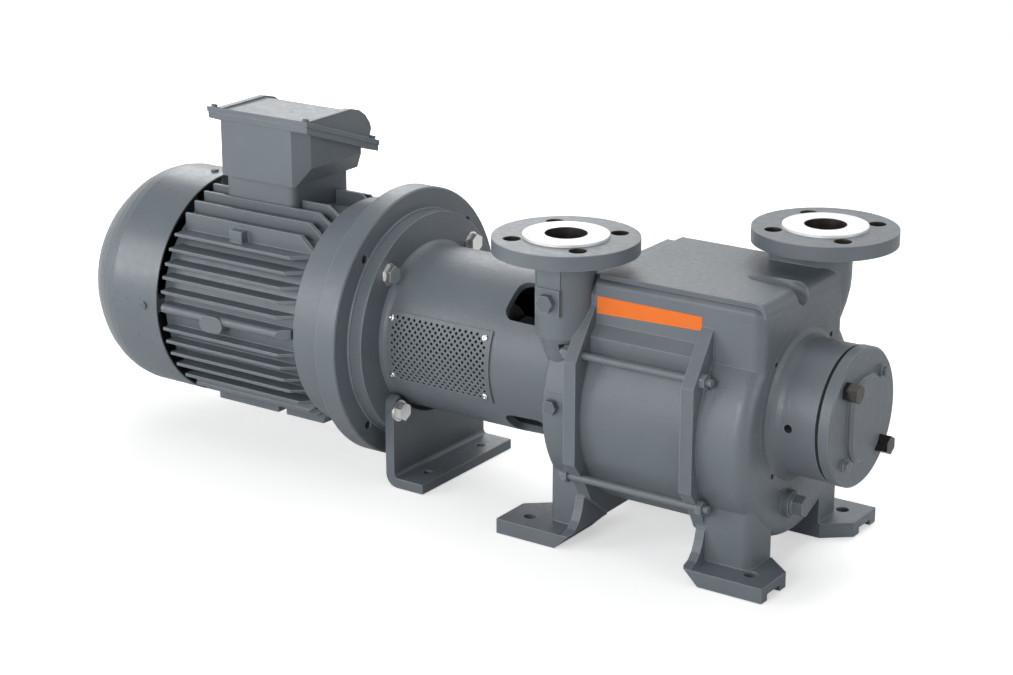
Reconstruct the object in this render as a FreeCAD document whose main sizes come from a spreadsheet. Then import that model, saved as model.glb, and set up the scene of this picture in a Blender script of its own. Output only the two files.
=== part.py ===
import FreeCAD, Part
import Sketcher
import math
import os

# Liquid ring vacuum pump with a flange-mounted motor.
# +X runs along the shaft from the motor to the non-drive end, +Z is up,
# and the origin is on the floor in the middle of the pump's four foot bolts.

doc = FreeCAD.newDocument("LiquidRingPump")
sheet = doc.addObject("Spreadsheet::Sheet", "Sizes")
V = FreeCAD.Vector
NODES = []


class Size:
    """A named length, or a sum or share of named lengths, with the formula that drives it."""

    def __init__(self, value, text):
        self.value = float(value)
        self.text = text

    def _join(self, other, sign, value, flip=False):
        text = other.text if isinstance(other, Size) else repr(float(other))
        first, second = (text, self.text) if flip else (self.text, text)
        return Size(value, "(%s %s %s)" % (first, sign, second))

    def __add__(self, other):
        return self._join(other, "+", self.value + num(other))

    __radd__ = __add__

    def __sub__(self, other):
        return self._join(other, "-", self.value - num(other))

    def __rsub__(self, other):
        return self._join(other, "-", num(other) - self.value, True)

    def __mul__(self, other):
        return self._join(other, "*", self.value * num(other))

    __rmul__ = __mul__

    def __truediv__(self, other):
        return self._join(other, "/", self.value / num(other))

    def __neg__(self):
        return Size(-self.value, "(0 - %s)" % self.text)


def num(size):
    return size.value if isinstance(size, Size) else float(size)


def cosine(size):
    return Size(math.cos(math.radians(num(size))), "cos(%s)" % as_text(size))


def sine(size):
    return Size(math.sin(math.radians(num(size))), "sin(%s)" % as_text(size))


def root(size):
    return Size(math.sqrt(num(size)), "sqrt(%s)" % size.text)


def as_text(size):
    return size.text if isinstance(size, Size) else repr(float(size))


ROW = [1]


def size(name, value, note):
    """Writes one driving dimension into the sheet and hands it back."""
    row = ROW[0]
    sheet.set("A%d" % row, note)
    sheet.set("B%d" % row, repr(value))
    sheet.setAlias("B%d" % row, name)
    ROW[0] = row + 1
    return Size(value, "Sizes." + name)


def drive(item, prop, value):
    """Sets a property and ties it to the sheet when it comes from there."""
    if isinstance(value, Size):
        item.setExpression(prop, value.text)
    elif "." not in prop:
        setattr(item, prop, value)


def place(item, x=0, y=0, z=0, axis=None, turn=0):
    """Puts an object at a driven position, with an optional turn about an axis."""
    spin = FreeCAD.Rotation(axis, turn) if axis is not None else FreeCAD.Rotation()
    item.Placement = FreeCAD.Placement(V(num(x), num(y), num(z)), spin)
    for letter, value in (("x", x), ("y", y), ("z", z)):
        drive(item, "Placement.Base." + letter, value)
    return item


TO_X = (V(0, 1, 0), 90)
TO_Y = (V(1, 0, 0), -90)
TO_NEG_Y = (V(1, 0, 0), 90)
UP = (V(0, 0, 1), 0)


def cylinder(name, radius, length, x=0, y=0, z=0, way=TO_X, angle=None):
    item = doc.addObject("Part::Cylinder", name)
    drive(item, "Radius", radius)
    drive(item, "Height", length)
    if angle is not None:
        drive(item, "Angle", angle)
    return place(item, x, y, z, way[0], way[1])


def cone(name, radius_1, radius_2, length, x=0, y=0, z=0, way=TO_X):
    item = doc.addObject("Part::Cone", name)
    drive(item, "Radius1", radius_1)
    drive(item, "Radius2", radius_2)
    drive(item, "Height", length)
    return place(item, x, y, z, way[0], way[1])


def hexagon(name, flats, length, x=0, y=0, z=0, way=TO_X):
    item = doc.addObject("Part::Prism", name)
    item.Polygon = 6
    drive(item, "Circumradius", flats / math.sqrt(3))
    drive(item, "Height", length)
    return place(item, x, y, z, way[0], way[1])


def box(name, length, width, height, x=0, y=0, z=0, axis=None, turn=0):
    """A box from its low corner."""
    item = doc.addObject("Part::Box", name)
    drive(item, "Length", length)
    drive(item, "Width", width)
    drive(item, "Height", height)
    return place(item, x, y, z, axis, turn)


def fuse(name, items):
    item = doc.addObject("Part::MultiFuse", name)
    item.Shapes = items
    item.Refine = True
    return item


def cut(name, base, tool):
    if isinstance(tool, list):
        tool = fuse(name + "_tools", tool) if len(tool) > 1 else tool[0]
    item = doc.addObject("Part::Cut", name)
    item.Base = base
    item.Tool = tool
    return item


def common(name, base, tool):
    item = doc.addObject("Part::MultiCommon", name)
    item.Shapes = [base, tool]
    return item


def together(name, items):
    item = doc.addObject("Part::Compound", name)
    item.Links = items
    return item


def new_body(name, z=None):
    """A body whose own axes may stand at a driven height."""
    body = doc.addObject("PartDesign::Body", name)
    if z is not None:
        place(body, 0, 0, z)
    return body


def plane_of(body, role):
    for item in body.Origin.OriginFeatures:
        if item.Role == role:
            return item
    raise RuntimeError("no plane " + role)


def new_sketch(body, name, role, offset=None):
    sketch = body.newObject("Sketcher::SketchObject", name)
    sketch.AttachmentSupport = [(plane_of(body, role), "")]
    sketch.MapMode = "FlatFace"
    if offset is not None:
        sketch.AttachmentOffset = FreeCAD.Placement(V(0, 0, num(offset)), FreeCAD.Rotation())
        drive(sketch, "AttachmentOffset.Base.z", offset)
    return sketch


def hold(sketch, kind, geometry, point, value):
    """Holds one coordinate of a sketch point at a driven distance from the sketch's origin."""
    index = sketch.addConstraint(Sketcher.Constraint(kind, -1, 1, geometry, point, num(value)))
    if isinstance(value, Size):
        sketch.setExpression("Constraints[%d]" % index, value.text)


def outline(sketch, corners):
    """A closed outline of straight edges; each corner has two driven distances."""
    start = sketch.GeometryCount
    count = len(corners)
    for i in range(count):
        a = corners[i]
        b = corners[(i + 1) % count]
        line = Part.LineSegment(V(num(a[0]), num(a[1]), 0), V(num(b[0]), num(b[1]), 0))
        sketch.addGeometry(line, False)
    for i in range(count):
        sketch.addConstraint(
            Sketcher.Constraint("Coincident", start + i, 2, start + (i + 1) % count, 1))
    for i in range(count):
        hold(sketch, "DistanceX", start + i, 1, corners[i][0])
        hold(sketch, "DistanceY", start + i, 1, corners[i][1])
    return sketch


def ring(sketch, radius, x=0, y=0):
    """A driven circle in a sketch."""
    place_at = V(num(x), num(y), 0)
    index = sketch.addGeometry(Part.Circle(place_at, V(0, 0, 1), num(radius)), False)
    limit = sketch.addConstraint(Sketcher.Constraint("Radius", index, num(radius)))
    if isinstance(radius, Size):
        sketch.setExpression("Constraints[%d]" % limit, radius.text)
    hold(sketch, "DistanceX", index, 3, x)
    hold(sketch, "DistanceY", index, 3, y)
    return sketch


def turned(name, corners, z=None):
    """A body turned about the X axis of its own frame from (x, radius) corners."""
    body = new_body(name, z)
    sketch = outline(new_sketch(body, name + "_profile", "XZ_Plane"), corners)
    feature = body.newObject("PartDesign::Revolution", name + "_turn")
    feature.Profile = sketch
    feature.ReferenceAxis = (sketch, ["H_Axis"])
    feature.Angle = 360
    sketch.Visibility = False
    return body


def padded(body, name, sketch, length, middle=False, back=False):
    feature = body.newObject("PartDesign::Pad", name)
    feature.Profile = sketch
    drive(feature, "Length", length)
    if middle:
        feature.SideType = "Symmetric"
    feature.Reversed = back
    return feature


def pocketed(body, name, sketch, length=None, middle=False, back=False):
    feature = body.newObject("PartDesign::Pocket", name)
    feature.Profile = sketch
    if length is None:
        feature.Type = "ThroughAll"
    else:
        drive(feature, "Length", length)
    if middle:
        feature.SideType = "Symmetric"
    feature.Reversed = back
    return feature


def edges_where(item, test):
    doc.recompute()
    found = []
    for i, edge in enumerate(item.Shape.Edges):
        if test(edge):
            found.append(i + 1)
    if not found:
        raise RuntimeError("no edge found on " + item.Name)
    return found


def rounded_edges(name, base, radius, test):
    """A fillet on a finished shape, on the edges that pass the test."""
    found = edges_where(base, test)
    item = doc.addObject("Part::Fillet", name)
    item.Base = base
    item.Edges = [(i, num(radius), num(radius)) for i in found]
    return item


def body_fillet(body, name, base, radius, test, kind="PartDesign::Fillet"):
    found = edges_where(base, test)
    item = body.newObject(kind, name)
    item.Base = (base, ["Edge%d" % i for i in found])
    drive(item, "Radius" if kind.endswith("Fillet") else "Size", radius)
    return item


def along(edge, direction):
    """True for a straight edge that runs along a direction."""
    if not isinstance(edge.Curve, Part.Line):
        return False
    d = edge.Curve.Direction
    return abs(abs(d.dot(direction)) - 1) < 1e-6


def middle_of(edge):
    box_of = edge.BoundBox
    return box_of.Center


def node(name, item):
    """Marks a finished piece and gives it the name of its file."""
    item.Label = name
    NODES.append((name, item))
    return item


# Main sizes of the pump
shaft_height = size("shaft_height", 163.0, "floor to shaft axis")
ring_drop = size("ring_drop", 20.0, "ring axis below shaft axis")
foot_pitch_x = size("foot_pitch_x", 260.0, "foot holes apart along the shaft")
foot_pitch_y = size("foot_pitch_y", 200.0, "foot holes apart across the shaft")
foot_hole = size("foot_hole", 14.0, "foot hole diameter")
foot_thick = size("foot_thick", 16.0, "foot thickness")
foot_width = size("foot_width", 250.0, "width over the feet")
foot_reach = size("foot_reach", 26.0, "foot end beyond its hole")
leg_wide = size("leg_wide", 44.0, "leg across the shaft")
leg_out = size("leg_out", 96.0, "outer face of a leg from the shaft plane")
leg_round = size("leg_round", 11.0, "rounding of the outer leg corner")
stage_half = size("stage_half", 60.5, "half the length of the ring stage")
clamp_thick = size("clamp_thick", 14.0, "clamp flange thickness")
clamp_half = size("clamp_half", 125.0, "half width of a clamp flange")
case_radius = size("case_radius", 118.0, "outer radius of the casing drums")
case_wall = size("case_wall", 13.0, "casing wall")
drive_case = size("drive_case", 46.5, "drive end casing length from the stage")
far_case = size("far_case", 67.5, "non-drive end casing length from the stage")
channel_half = size("channel_half", 88.0, "half width of the top channel")
channel_top = size("channel_top", 124.0, "top of the channel above the shaft axis")
rod_circle = size("rod_circle", 128.0, "tie rod circle radius")
rod_angle = size("rod_angle", 31.0, "tie rods above and below the ring axis, degrees")
rod_size = size("rod_size", 8.0, "tie rod diameter")
nozzle_radius = size("nozzle_radius", 75.0, "nozzle flange radius")
nozzle_thick = size("nozzle_thick", 15.0, "nozzle flange thickness")
nozzle_face = size("nozzle_face", 3.0, "raised face height")
nozzle_face_radius = size("nozzle_face_radius", 44.0, "raised face radius")
nozzle_bore = size("nozzle_bore", 21.5, "nozzle bore radius")
nozzle_circle = size("nozzle_circle", 55.0, "nozzle bolt circle radius")
nozzle_hole = size("nozzle_hole", 9.0, "nozzle bolt hole radius")
nozzle_rise = size("nozzle_rise", 162.0, "nozzle sealing face above the shaft axis")
nozzle_out = size("nozzle_out", 88.0, "nozzle axis from the shaft plane")
suction_x = size("suction_x", 96.5, "drive end nozzle axis before the pump middle")
discharge_x = size("discharge_x", 101.5, "far nozzle axis behind the pump middle")
neck_radius = size("neck_radius", 31.0, "drive end nozzle neck radius")
far_neck_radius = size("far_neck_radius", 29.0, "far nozzle neck radius")
shaft_bearing_seat = size("shaft_bearing_seat", 17.5, "shaft radius at the bearings")
bearing_outer = size("bearing_outer", 36.0, "bearing outer radius")
bearing_wide = size("bearing_wide", 17.0, "bearing width")
hub_radius = size("hub_radius", 47.0, "bearing hub radius")
seal_bore = size("seal_bore", 27.0, "seal chamber radius")

ring_axis = shaft_height - ring_drop
nozzle_top = shaft_height + nozzle_rise
rod_y = rod_circle * cosine(rod_angle)
rod_z = rod_circle * sine(rod_angle)
inner_radius = case_radius - case_wall
foot_in = foot_pitch_x / 2 - 46


def casing_feet(prefix, side, leg_end):
    """Clamp flange, ribs, legs and feet of one end; side is -1 at the drive end."""
    rib_start = stage_half + 5.5
    low = stage_half if side > 0 else -(stage_half + clamp_thick)
    plate_body = new_body(prefix + "_clamp_flange")
    plate = new_sketch(plate_body, prefix + "_clamp_outline", "YZ_Plane", low)
    top = shaft_height + channel_top - 3
    right = [(clamp_half, ring_axis - 48), (clamp_half, ring_axis + 61),
             (channel_half + 3, ring_axis + 109), (channel_half, ring_axis + 113),
             (channel_half, top - 18), (channel_half - 14, top)]
    left = [(-y, z) for y, z in reversed(right)]
    foot_line = [(-105.0, ring_axis - 73), (-93.0, ring_axis - 95), (-60.0, ring_axis - 120),
                 (60.0, ring_axis - 120), (93.0, ring_axis - 95), (105.0, ring_axis - 73)]
    outline(plate, right + left + foot_line)
    padded(plate_body, prefix + "_clamp_pad", plate, clamp_thick)
    solids = [plate_body]
    for turn in (-1, 1):
        tag = prefix + ("_near" if turn < 0 else "_off")
        leg_body = new_body(tag + "_leg")
        leg = new_sketch(leg_body, tag + "_leg_outline", "XY_Plane")
        outline(leg, [(x * side, y * turn) for x, y in
                      [(rib_start, leg_out), (leg_end, leg_out),
                       (leg_end, leg_out - leg_wide), (rib_start, leg_out - leg_wide)]])
        leg_pad = padded(leg_body, tag + "_leg_pad", leg, ring_axis - 60)
        body_fillet(leg_body, tag + "_leg_round", leg_pad, leg_round,
                    lambda e: along(e, V(0, 0, 1)) and abs(middle_of(e).x) > num(leg_end) - 0.1
                    and abs(middle_of(e).y) > num(leg_out) - 0.1)
        solids.append(leg_body)
        rib_body = new_body(tag + "_rib")
        rib_low = rib_start if side > 0 else -(rib_start + 10)
        rib = new_sketch(rib_body, tag + "_rib_outline", "YZ_Plane", rib_low)
        rib_line = [(95.0, ring_axis - 91), (98.0, foot_thick + 32), (101.0, foot_thick + 21),
                    (106.0, foot_thick + 11), (113.0, foot_thick + 4), (foot_width / 2, foot_thick),
                    (foot_width / 2, 0.0),
                    (leg_out - leg_wide, 0.0), (leg_out - leg_wide, ring_axis - 91)]
        outline(rib, [(y * turn, z) for y, z in rib_line])
        padded(rib_body, tag + "_rib_pad", rib, 10.0)
        solids.append(rib_body)
        foot_body = new_body(tag + "_foot")
        foot = new_sketch(foot_body, tag + "_foot_outline", "XY_Plane")
        end = foot_pitch_x / 2 + foot_reach
        foot_line = [(rib_start, foot_width / 2), (end, foot_width / 2),
                     (end, foot_width / 2 - 50), (end - 28, leg_out - leg_wide),
                     (rib_start, leg_out - leg_wide)]
        outline(foot, [(x * side, y * turn) for x, y in foot_line])
        padded(foot_body, tag + "_foot_pad", foot, foot_thick)
        relief = new_sketch(foot_body, tag + "_relief_outline", "XY_Plane")
        mid = foot_width / 2 - 25
        outline(relief, [(x * side, y * turn) for x, y in
                         [(end - 13, mid - 13), (end + 1, mid - 13),
                          (end + 1, mid + 13), (end - 13, mid + 13)]])
        pocketed(foot_body, tag + "_relief", relief, foot_thick * 0.4, back=True)
        solids.append(foot_body)
    return solids


def foot_cutters(prefix, side):
    """The bevel below the inner end of the feet, the foot holes and the tie rod holes."""
    tools = []
    bevel_body = new_body(prefix + "_bevel")
    bevel = new_sketch(bevel_body, prefix + "_bevel_outline", "XZ_Plane")
    corners = [(foot_in + 0.5, -1.0), (foot_in + 0.5, 0.0), (stage_half + 6.5, foot_thick + 1),
               (stage_half - 10, foot_thick + 1), (stage_half - 10, -1.0)]
    outline(bevel, [(x * side, z) for x, z in corners])
    padded(bevel_body, prefix + "_bevel_pad", bevel, foot_width + 4, middle=True)
    tools.append(bevel_body)
    for turn in (-1, 1):
        tag = prefix + ("_near" if turn < 0 else "_off")
        tools.append(cylinder(tag + "_foot_hole", foot_hole / 2, foot_thick + 2,
                              foot_pitch_x / 2 * side, foot_pitch_y / 2 * turn, -1, UP))
        for rise in (-1, 1):
            start = stage_half - 1 if side > 0 else -(stage_half + clamp_thick + 1)
            tools.append(cylinder(tag + "_rod_hole", rod_size / 2 + 0.5, clamp_thick + 2,
                                  start, rod_y * turn, ring_axis + rod_z * rise))
    return tools


def nozzle_solids(prefix, x, y):
    """Flange and raised face of one nozzle."""
    disc = cylinder(prefix + "_flange", nozzle_radius, nozzle_thick,
                    x, y, nozzle_top - nozzle_face - nozzle_thick, UP)
    face = cylinder(prefix + "_raised_face", nozzle_face_radius, nozzle_face + 1,
                    x, y, nozzle_top - nozzle_face - 1, UP)
    return [disc, face]


def nozzle_cutters(prefix, x, y, toward):
    """Bore with its elbow into the casing, and the four bolt holes on the diagonals."""
    elbow = nozzle_top - 80
    tools = [cylinder(prefix + "_bore", nozzle_bore, 81.0, x, y, elbow, UP)]
    ball = doc.addObject("Part::Sphere", prefix + "_elbow")
    drive(ball, "Radius", nozzle_bore)
    tools.append(place(ball, x, y, elbow))
    way = V(*toward)
    throat = doc.addObject("Part::Cylinder", prefix + "_throat")
    drive(throat, "Radius", nozzle_bore - 3)
    drive(throat, "Height", way.Length)
    place(throat, x, y, elbow)
    throat.Placement.Rotation = FreeCAD.Rotation(V(0, 0, 1), way)
    tools.append(throat)
    step = nozzle_circle * cosine(45)
    for i, (a, b) in enumerate(((1, 1), (-1, 1), (-1, -1), (1, -1))):
        tools.append(cylinder(prefix + "_bolt_hole_%d" % i, nozzle_hole, nozzle_thick + 2,
                              x + step * a, y + step * b,
                              nozzle_top - nozzle_face - nozzle_thick - 1, UP))
    return tools


def nut_rooms(prefix, x):
    """Clearance for the four tie rod nuts beside the clamp flange."""
    rooms = []
    for a in (-1, 1):
        for b in (-1, 1):
            rooms.append(cylinder("%s_nut_room_%d_%d" % (prefix, a + 1, b + 1), rod_size + 0.6, 14.0,
                                  x, rod_y * a, ring_axis + rod_z * b))
    return rooms


# Drive end casing: cast iron drum with suction nozzle, two feet and the hub of the
# drive end bearing; it clamps the ring stage and carries the lantern.
bearing_x = size("bearing_x", 150.0, "drive end bearing hub end before the pump middle")
case_x = -(stage_half + drive_case)
barrel = size("barrel", 90.0, "lantern barrel radius")
drum = cylinder("drive_drum", case_radius, drive_case, case_x, 0, ring_axis)
shell = rounded_edges("drive_drum_round", drum, 6.0, lambda e: e.BoundBox.XMax < num(case_x) + 0.1)
neck = cylinder("suction_neck", neck_radius, nozzle_rise - 61, -suction_x, -nozzle_out,
                shaft_height + 45 + 14, UP)
taper = cone("suction_taper", 15.0, neck_radius, 42.0, -suction_x, -nozzle_out,
             shaft_height + 22, UP)
boss_wide = size("boss_wide", 28.0, "gauge boss width on the suction neck")
boss_out = nozzle_out + neck_radius + 3
boss_z = shaft_height + 84
gauge_boss = box("gauge_boss", boss_wide, 30.0, boss_wide, -suction_x - boss_wide / 2, -boss_out, boss_z)
boss_step = box("gauge_boss_step", boss_wide - 2, 20.0, 24.0, 1 - suction_x - boss_wide / 2,
                3 - boss_out, boss_z + boss_wide - 4)
drive_solids = casing_feet("drive", -1, stage_half + drive_case + 3.5)
drive_solids += [shell, neck, taper, gauge_boss, boss_step]
drive_solids += nozzle_solids("suction", -suction_x, -nozzle_out)
drive_outer = fuse("drive_outer", drive_solids)
chamber = cylinder("drive_chamber", inner_radius, drive_case - case_wall + 1,
                   case_x + case_wall, 0, ring_axis)
lantern_room = cylinder("lantern_room", barrel + 0.3, 40.0, case_x - 40, 0, shaft_height)
drive_shell = cut("drive_shell", drive_outer, [chamber, lantern_room] + foot_cutters("drive", -1)
                  + nozzle_cutters("suction", -suction_x, -nozzle_out, (14.0, 30.0, -72.0)))
hub = cylinder("drive_hub", hub_radius, bearing_x - stage_half, -bearing_x, 0, shaft_height)
spigot = cylinder("drive_spigot", 81.7, 6.0, case_x - 6, 0, shaft_height)
drive_full = fuse("drive_full", [drive_shell, hub, spigot])
bores = [cylinder("drive_bearing_bore", bearing_outer, bearing_wide + 4,
                  -bearing_x - 1, 0, shaft_height),
         cylinder("drive_shaft_bore", shaft_bearing_seat + 4, 90.0, -bearing_x + 1, 0, shaft_height),
         cylinder("drive_seal_bore", seal_bore, 36.0, -stage_half - 35, 0, shaft_height)]
side_groove = box("drive_split_groove", drive_case, 3.0, 1.2,
                  case_x, -case_radius, shaft_height + 1)
node("drive_end_casing", cut("drive_end_casing", drive_full,
                             bores + [side_groove] + nut_rooms("drive", -stage_half - clamp_thick - 14)))

# Non-drive end casing: the same clamp flange and feet, a deeper drum, the rear
# discharge nozzle and the channel that runs forward over the ring stage.
drum = cylinder("far_drum", case_radius, far_case, stage_half, 0, ring_axis)
far_end = stage_half + far_case
shell = rounded_edges("far_drum_round", drum, 15.0, lambda e: e.BoundBox.XMin > num(far_end) - 0.1)
channel_side = shaft_height + 43
channel_lip = size("channel_lip", 5.0, "raised middle of the channel top above its edge")
channel_long = stage_half + far_end
core = box("channel_block", channel_long, channel_half * 2, channel_top - channel_lip - 43,
           -stage_half, -channel_half, channel_side)
found = edges_where(core, lambda e: e.BoundBox.XMin > num(far_end) - 0.1
                    and e.BoundBox.ZMax > num(channel_side) + 0.1)
sides = edges_where(core, lambda e: along(e, V(1, 0, 0)) and middle_of(e).z > num(channel_side) + 0.1)
channel_core = doc.addObject("Part::Fillet", "channel_core")
channel_core.Base = core
channel_core.Edges = [(i, 14.0, 14.0) for i in found] + [(i, 6.0, 6.0) for i in sides]
raised = box("channel_raised", channel_long - 1, channel_half * 2 - 14, 14.0, -stage_half,
             7 - channel_half, shaft_height + channel_top - 14)
raised_end = rounded_edges("channel_raised_end", raised, 13.0, lambda e: along(e, V(0, 1, 0))
                           and e.BoundBox.XMin > num(far_end) - 1.1
                           and middle_of(e).z > num(shaft_height + channel_top) - 0.1)
skirt_body = new_body("channel_skirt")
skirt = new_sketch(skirt_body, "channel_skirt_outline", "YZ_Plane", -stage_half)
half = [(98.0, channel_side), (98.0, channel_side + 20), (channel_half - 2, channel_side + 34)]
outline(skirt, half + [(-y, z) for y, z in reversed(half)])
padded(skirt_body, "channel_skirt_pad", skirt, stage_half * 2 + 1)
neck_cylinder = cylinder("discharge_neck", far_neck_radius, nozzle_rise - 110,
                         discharge_x, nozzle_out, shaft_height + 108, UP)
neck_block = box("discharge_neck_block", 48.0, far_neck_radius * 2, nozzle_rise - 68,
                 discharge_x - 48, nozzle_out - far_neck_radius, shaft_height + 59)
taper_body = new_body("discharge_taper")
taper_sketch = new_sketch(taper_body, "discharge_taper_profile", "XZ_Plane")
outline(taper_sketch, [(0.0, shaft_height + 32), (8.0, shaft_height + 36), (15.0, shaft_height + 51),
                       (20.5, shaft_height + 67), (25.0, shaft_height + 82),
                       (far_neck_radius - 1, shaft_height + 96), (far_neck_radius, shaft_height + 109),
                       (0.0, shaft_height + 109)])
taper_turn = taper_body.newObject("PartDesign::Revolution", "discharge_taper_turn")
taper_turn.Profile = taper_sketch
taper_turn.ReferenceAxis = (taper_sketch, ["V_Axis"])
taper_turn.Angle = 360
place(taper_body, discharge_x, nozzle_out, 0)
drain_y = -24.0
plug_boss = cylinder("drain_boss", 14.0, 9.0, far_end - 1, drain_y, ring_axis - 77)
far_solids = casing_feet("far", 1, stage_half + far_case - 2)
far_solids += [shell, channel_core, raised_end, skirt_body, neck_cylinder, neck_block, taper_body,
               plug_boss]
far_solids += nozzle_solids("discharge", discharge_x, nozzle_out)
far_outer = fuse("far_outer", far_solids)
chamber = cylinder("far_chamber", inner_radius, far_case - case_wall + 1,
                   stage_half - 1, 0, ring_axis)
stage_room = cylinder("stage_room", case_radius - 1.7, stage_half * 2 + 1,
                      -stage_half - 1, 0, ring_axis)
duct = box("channel_duct", channel_long - 25, channel_half * 2 - 28, 7.0,
           -stage_half - 1, 14 - channel_half, shaft_height + channel_top - 23)
gutter = cylinder("channel_gutter", 12.5, 90.0, far_end - 66, -5.0,
                  shaft_height + channel_top + 14, (V(0, 1, 0), 107))
far_shell = cut("far_shell", far_outer, [chamber, stage_room, duct, gutter]
                + foot_cutters("far", 1)
                + nozzle_cutters("discharge", discharge_x, nozzle_out, (-14.0, -30.0, -72.0)))
hub = cylinder("far_hub", hub_radius, far_case - 9, stage_half, 0, shaft_height)
housing_seat = size("housing_seat", 86.5, "bearing housing flange radius")
far_full = fuse("far_full", [far_shell, hub])
bores = [cylinder("far_seal_bore", seal_bore, 36.0, stage_half - 1, 0, shaft_height),
         cylinder("far_shaft_bore", shaft_bearing_seat + 4, 90.0, stage_half, 0, shaft_height),
         cylinder("housing_socket", housing_seat + 0.2, 11.0, far_end - 10, 0, shaft_height),
         cylinder("drain_thread", 6.0, 30.0, far_end - 20, drain_y, ring_axis - 77)]
node("non_drive_end_casing", cut("non_drive_end_casing", far_full,
                                 bores + nut_rooms("far", stage_half + clamp_thick)))

# Ring stage: the cast ring that holds the liquid, set lower than the shaft, with a
# recess at each end for a port plate.
ring_bore = size("ring_bore", 98.0, "ring bore radius")
ring_outer = size("ring_outer", 116.0, "ring outer radius")
plate_radius = size("plate_radius", 104.0, "port plate radius")
plate_thick = size("plate_thick", 10.0, "port plate thickness")
node("ring_stage", turned("ring_stage", [
    (-stage_half, plate_radius + 0.1), (-stage_half, ring_outer), (stage_half, ring_outer),
    (stage_half, plate_radius + 0.1), (stage_half - plate_thick, plate_radius + 0.1),
    (stage_half - plate_thick, ring_bore), (plate_thick - stage_half, ring_bore),
    (plate_thick - stage_half, plate_radius + 0.1)], ring_axis))

# Port plates: ductile iron discs between the casings and the ring, each with a long
# inlet port and a short outlet port round the shaft hole.
for name, x, first in (("drive_end_port_plate", -stage_half, 110.0),
                       ("non_drive_end_port_plate", stage_half - plate_thick, 110.0)):
    disc = cylinder(name + "_disc", plate_radius, plate_thick, x, 0, ring_axis)
    tools = [cylinder(name + "_eye", shaft_bearing_seat + 7, plate_thick + 2, x - 1, 0, shaft_height)]
    for tag, start, sweep in (("inlet", first, 95.0), ("outlet", first + 165, 50.0)):
        outer = cylinder(name + "_" + tag + "_outer", 64.0, plate_thick + 2, x - 1, 0,
                         shaft_height, TO_X, sweep)
        spin = FreeCAD.Rotation(V(1, 0, 0), start).multiply(FreeCAD.Rotation(V(0, 1, 0), 90))
        outer.Placement.Rotation = spin
        inner = cylinder(name + "_" + tag + "_inner", 44.0, plate_thick + 4, x - 2, 0, shaft_height)
        tools.append(cut(name + "_" + tag, outer, inner))
    node(name, cut(name, disc, tools))

# Impeller: a hub with forward-curved vanes that turns just clear of the ring at the top.
impeller_radius = size("impeller_radius", 77.0, "impeller radius")
impeller_gap = size("impeller_gap", 0.4, "gap between impeller and port plate")
vane_count = 12
vane_thick = size("vane_thick", 5.0, "vane thickness")
shaft_radius = size("shaft_radius", 19.0, "pump shaft radius in the impeller")
impeller_half = stage_half - plate_thick - impeller_gap
impeller_body = new_body("impeller", shaft_height)
hub_sketch = new_sketch(impeller_body, "impeller_hub", "YZ_Plane")
ring(hub_sketch, 34.0)
hub_pad = padded(impeller_body, "impeller_hub_pad", hub_sketch, impeller_half * 2, middle=True)
vane_sketch = new_sketch(impeller_body, "vane_outline", "YZ_Plane")
outline(vane_sketch, [(-vane_thick / 2, 25.0), (vane_thick / 2, 25.0),
                      (vane_thick / 2 + 0.5, 48.0), (vane_thick / 2 + 6, impeller_radius - 14),
                      (vane_thick / 2 + 15, impeller_radius - 3),
                      (15 - vane_thick / 2, impeller_radius - 2.5),
                      (5 - vane_thick / 2, impeller_radius - 12), (-vane_thick / 2, 48.0)])
vane_pad = padded(impeller_body, "vane_pad", vane_sketch, impeller_half * 2, middle=True)
vanes = impeller_body.newObject("PartDesign::PolarPattern", "vanes")
vanes.Originals = [vane_pad]
vanes.Axis = (vane_sketch, ["N_Axis"])
vanes.Angle = 360
vanes.Occurrences = vane_count
impeller_body.Tip = vanes
bore_sketch = new_sketch(impeller_body, "impeller_bore", "YZ_Plane")
ring(bore_sketch, shaft_radius + 0.05)
bore_pocket = pocketed(impeller_body, "impeller_bore_pocket", bore_sketch, impeller_half * 2 + 2,
                       middle=True)
key_way = new_sketch(impeller_body, "key_way", "YZ_Plane")
outline(key_way, [(-5.1, 0.0), (5.1, 0.0), (5.1, shaft_radius + 3.4), (-5.1, shaft_radius + 3.4)])
pocketed(impeller_body, "key_way_pocket", key_way, impeller_half * 2 + 2, middle=True)
node("impeller", impeller_body)


def radial(name, radius, start, length, x, angle):
    """A round bar that points away from the shaft axis at an angle from +Y."""
    item = doc.addObject("Part::Cylinder", name)
    drive(item, "Radius", radius)
    drive(item, "Height", length)
    place(item, x, start * cosine(angle), shaft_height + start * sine(angle),
          V(1, 0, 0), angle - 90)
    return item


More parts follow.
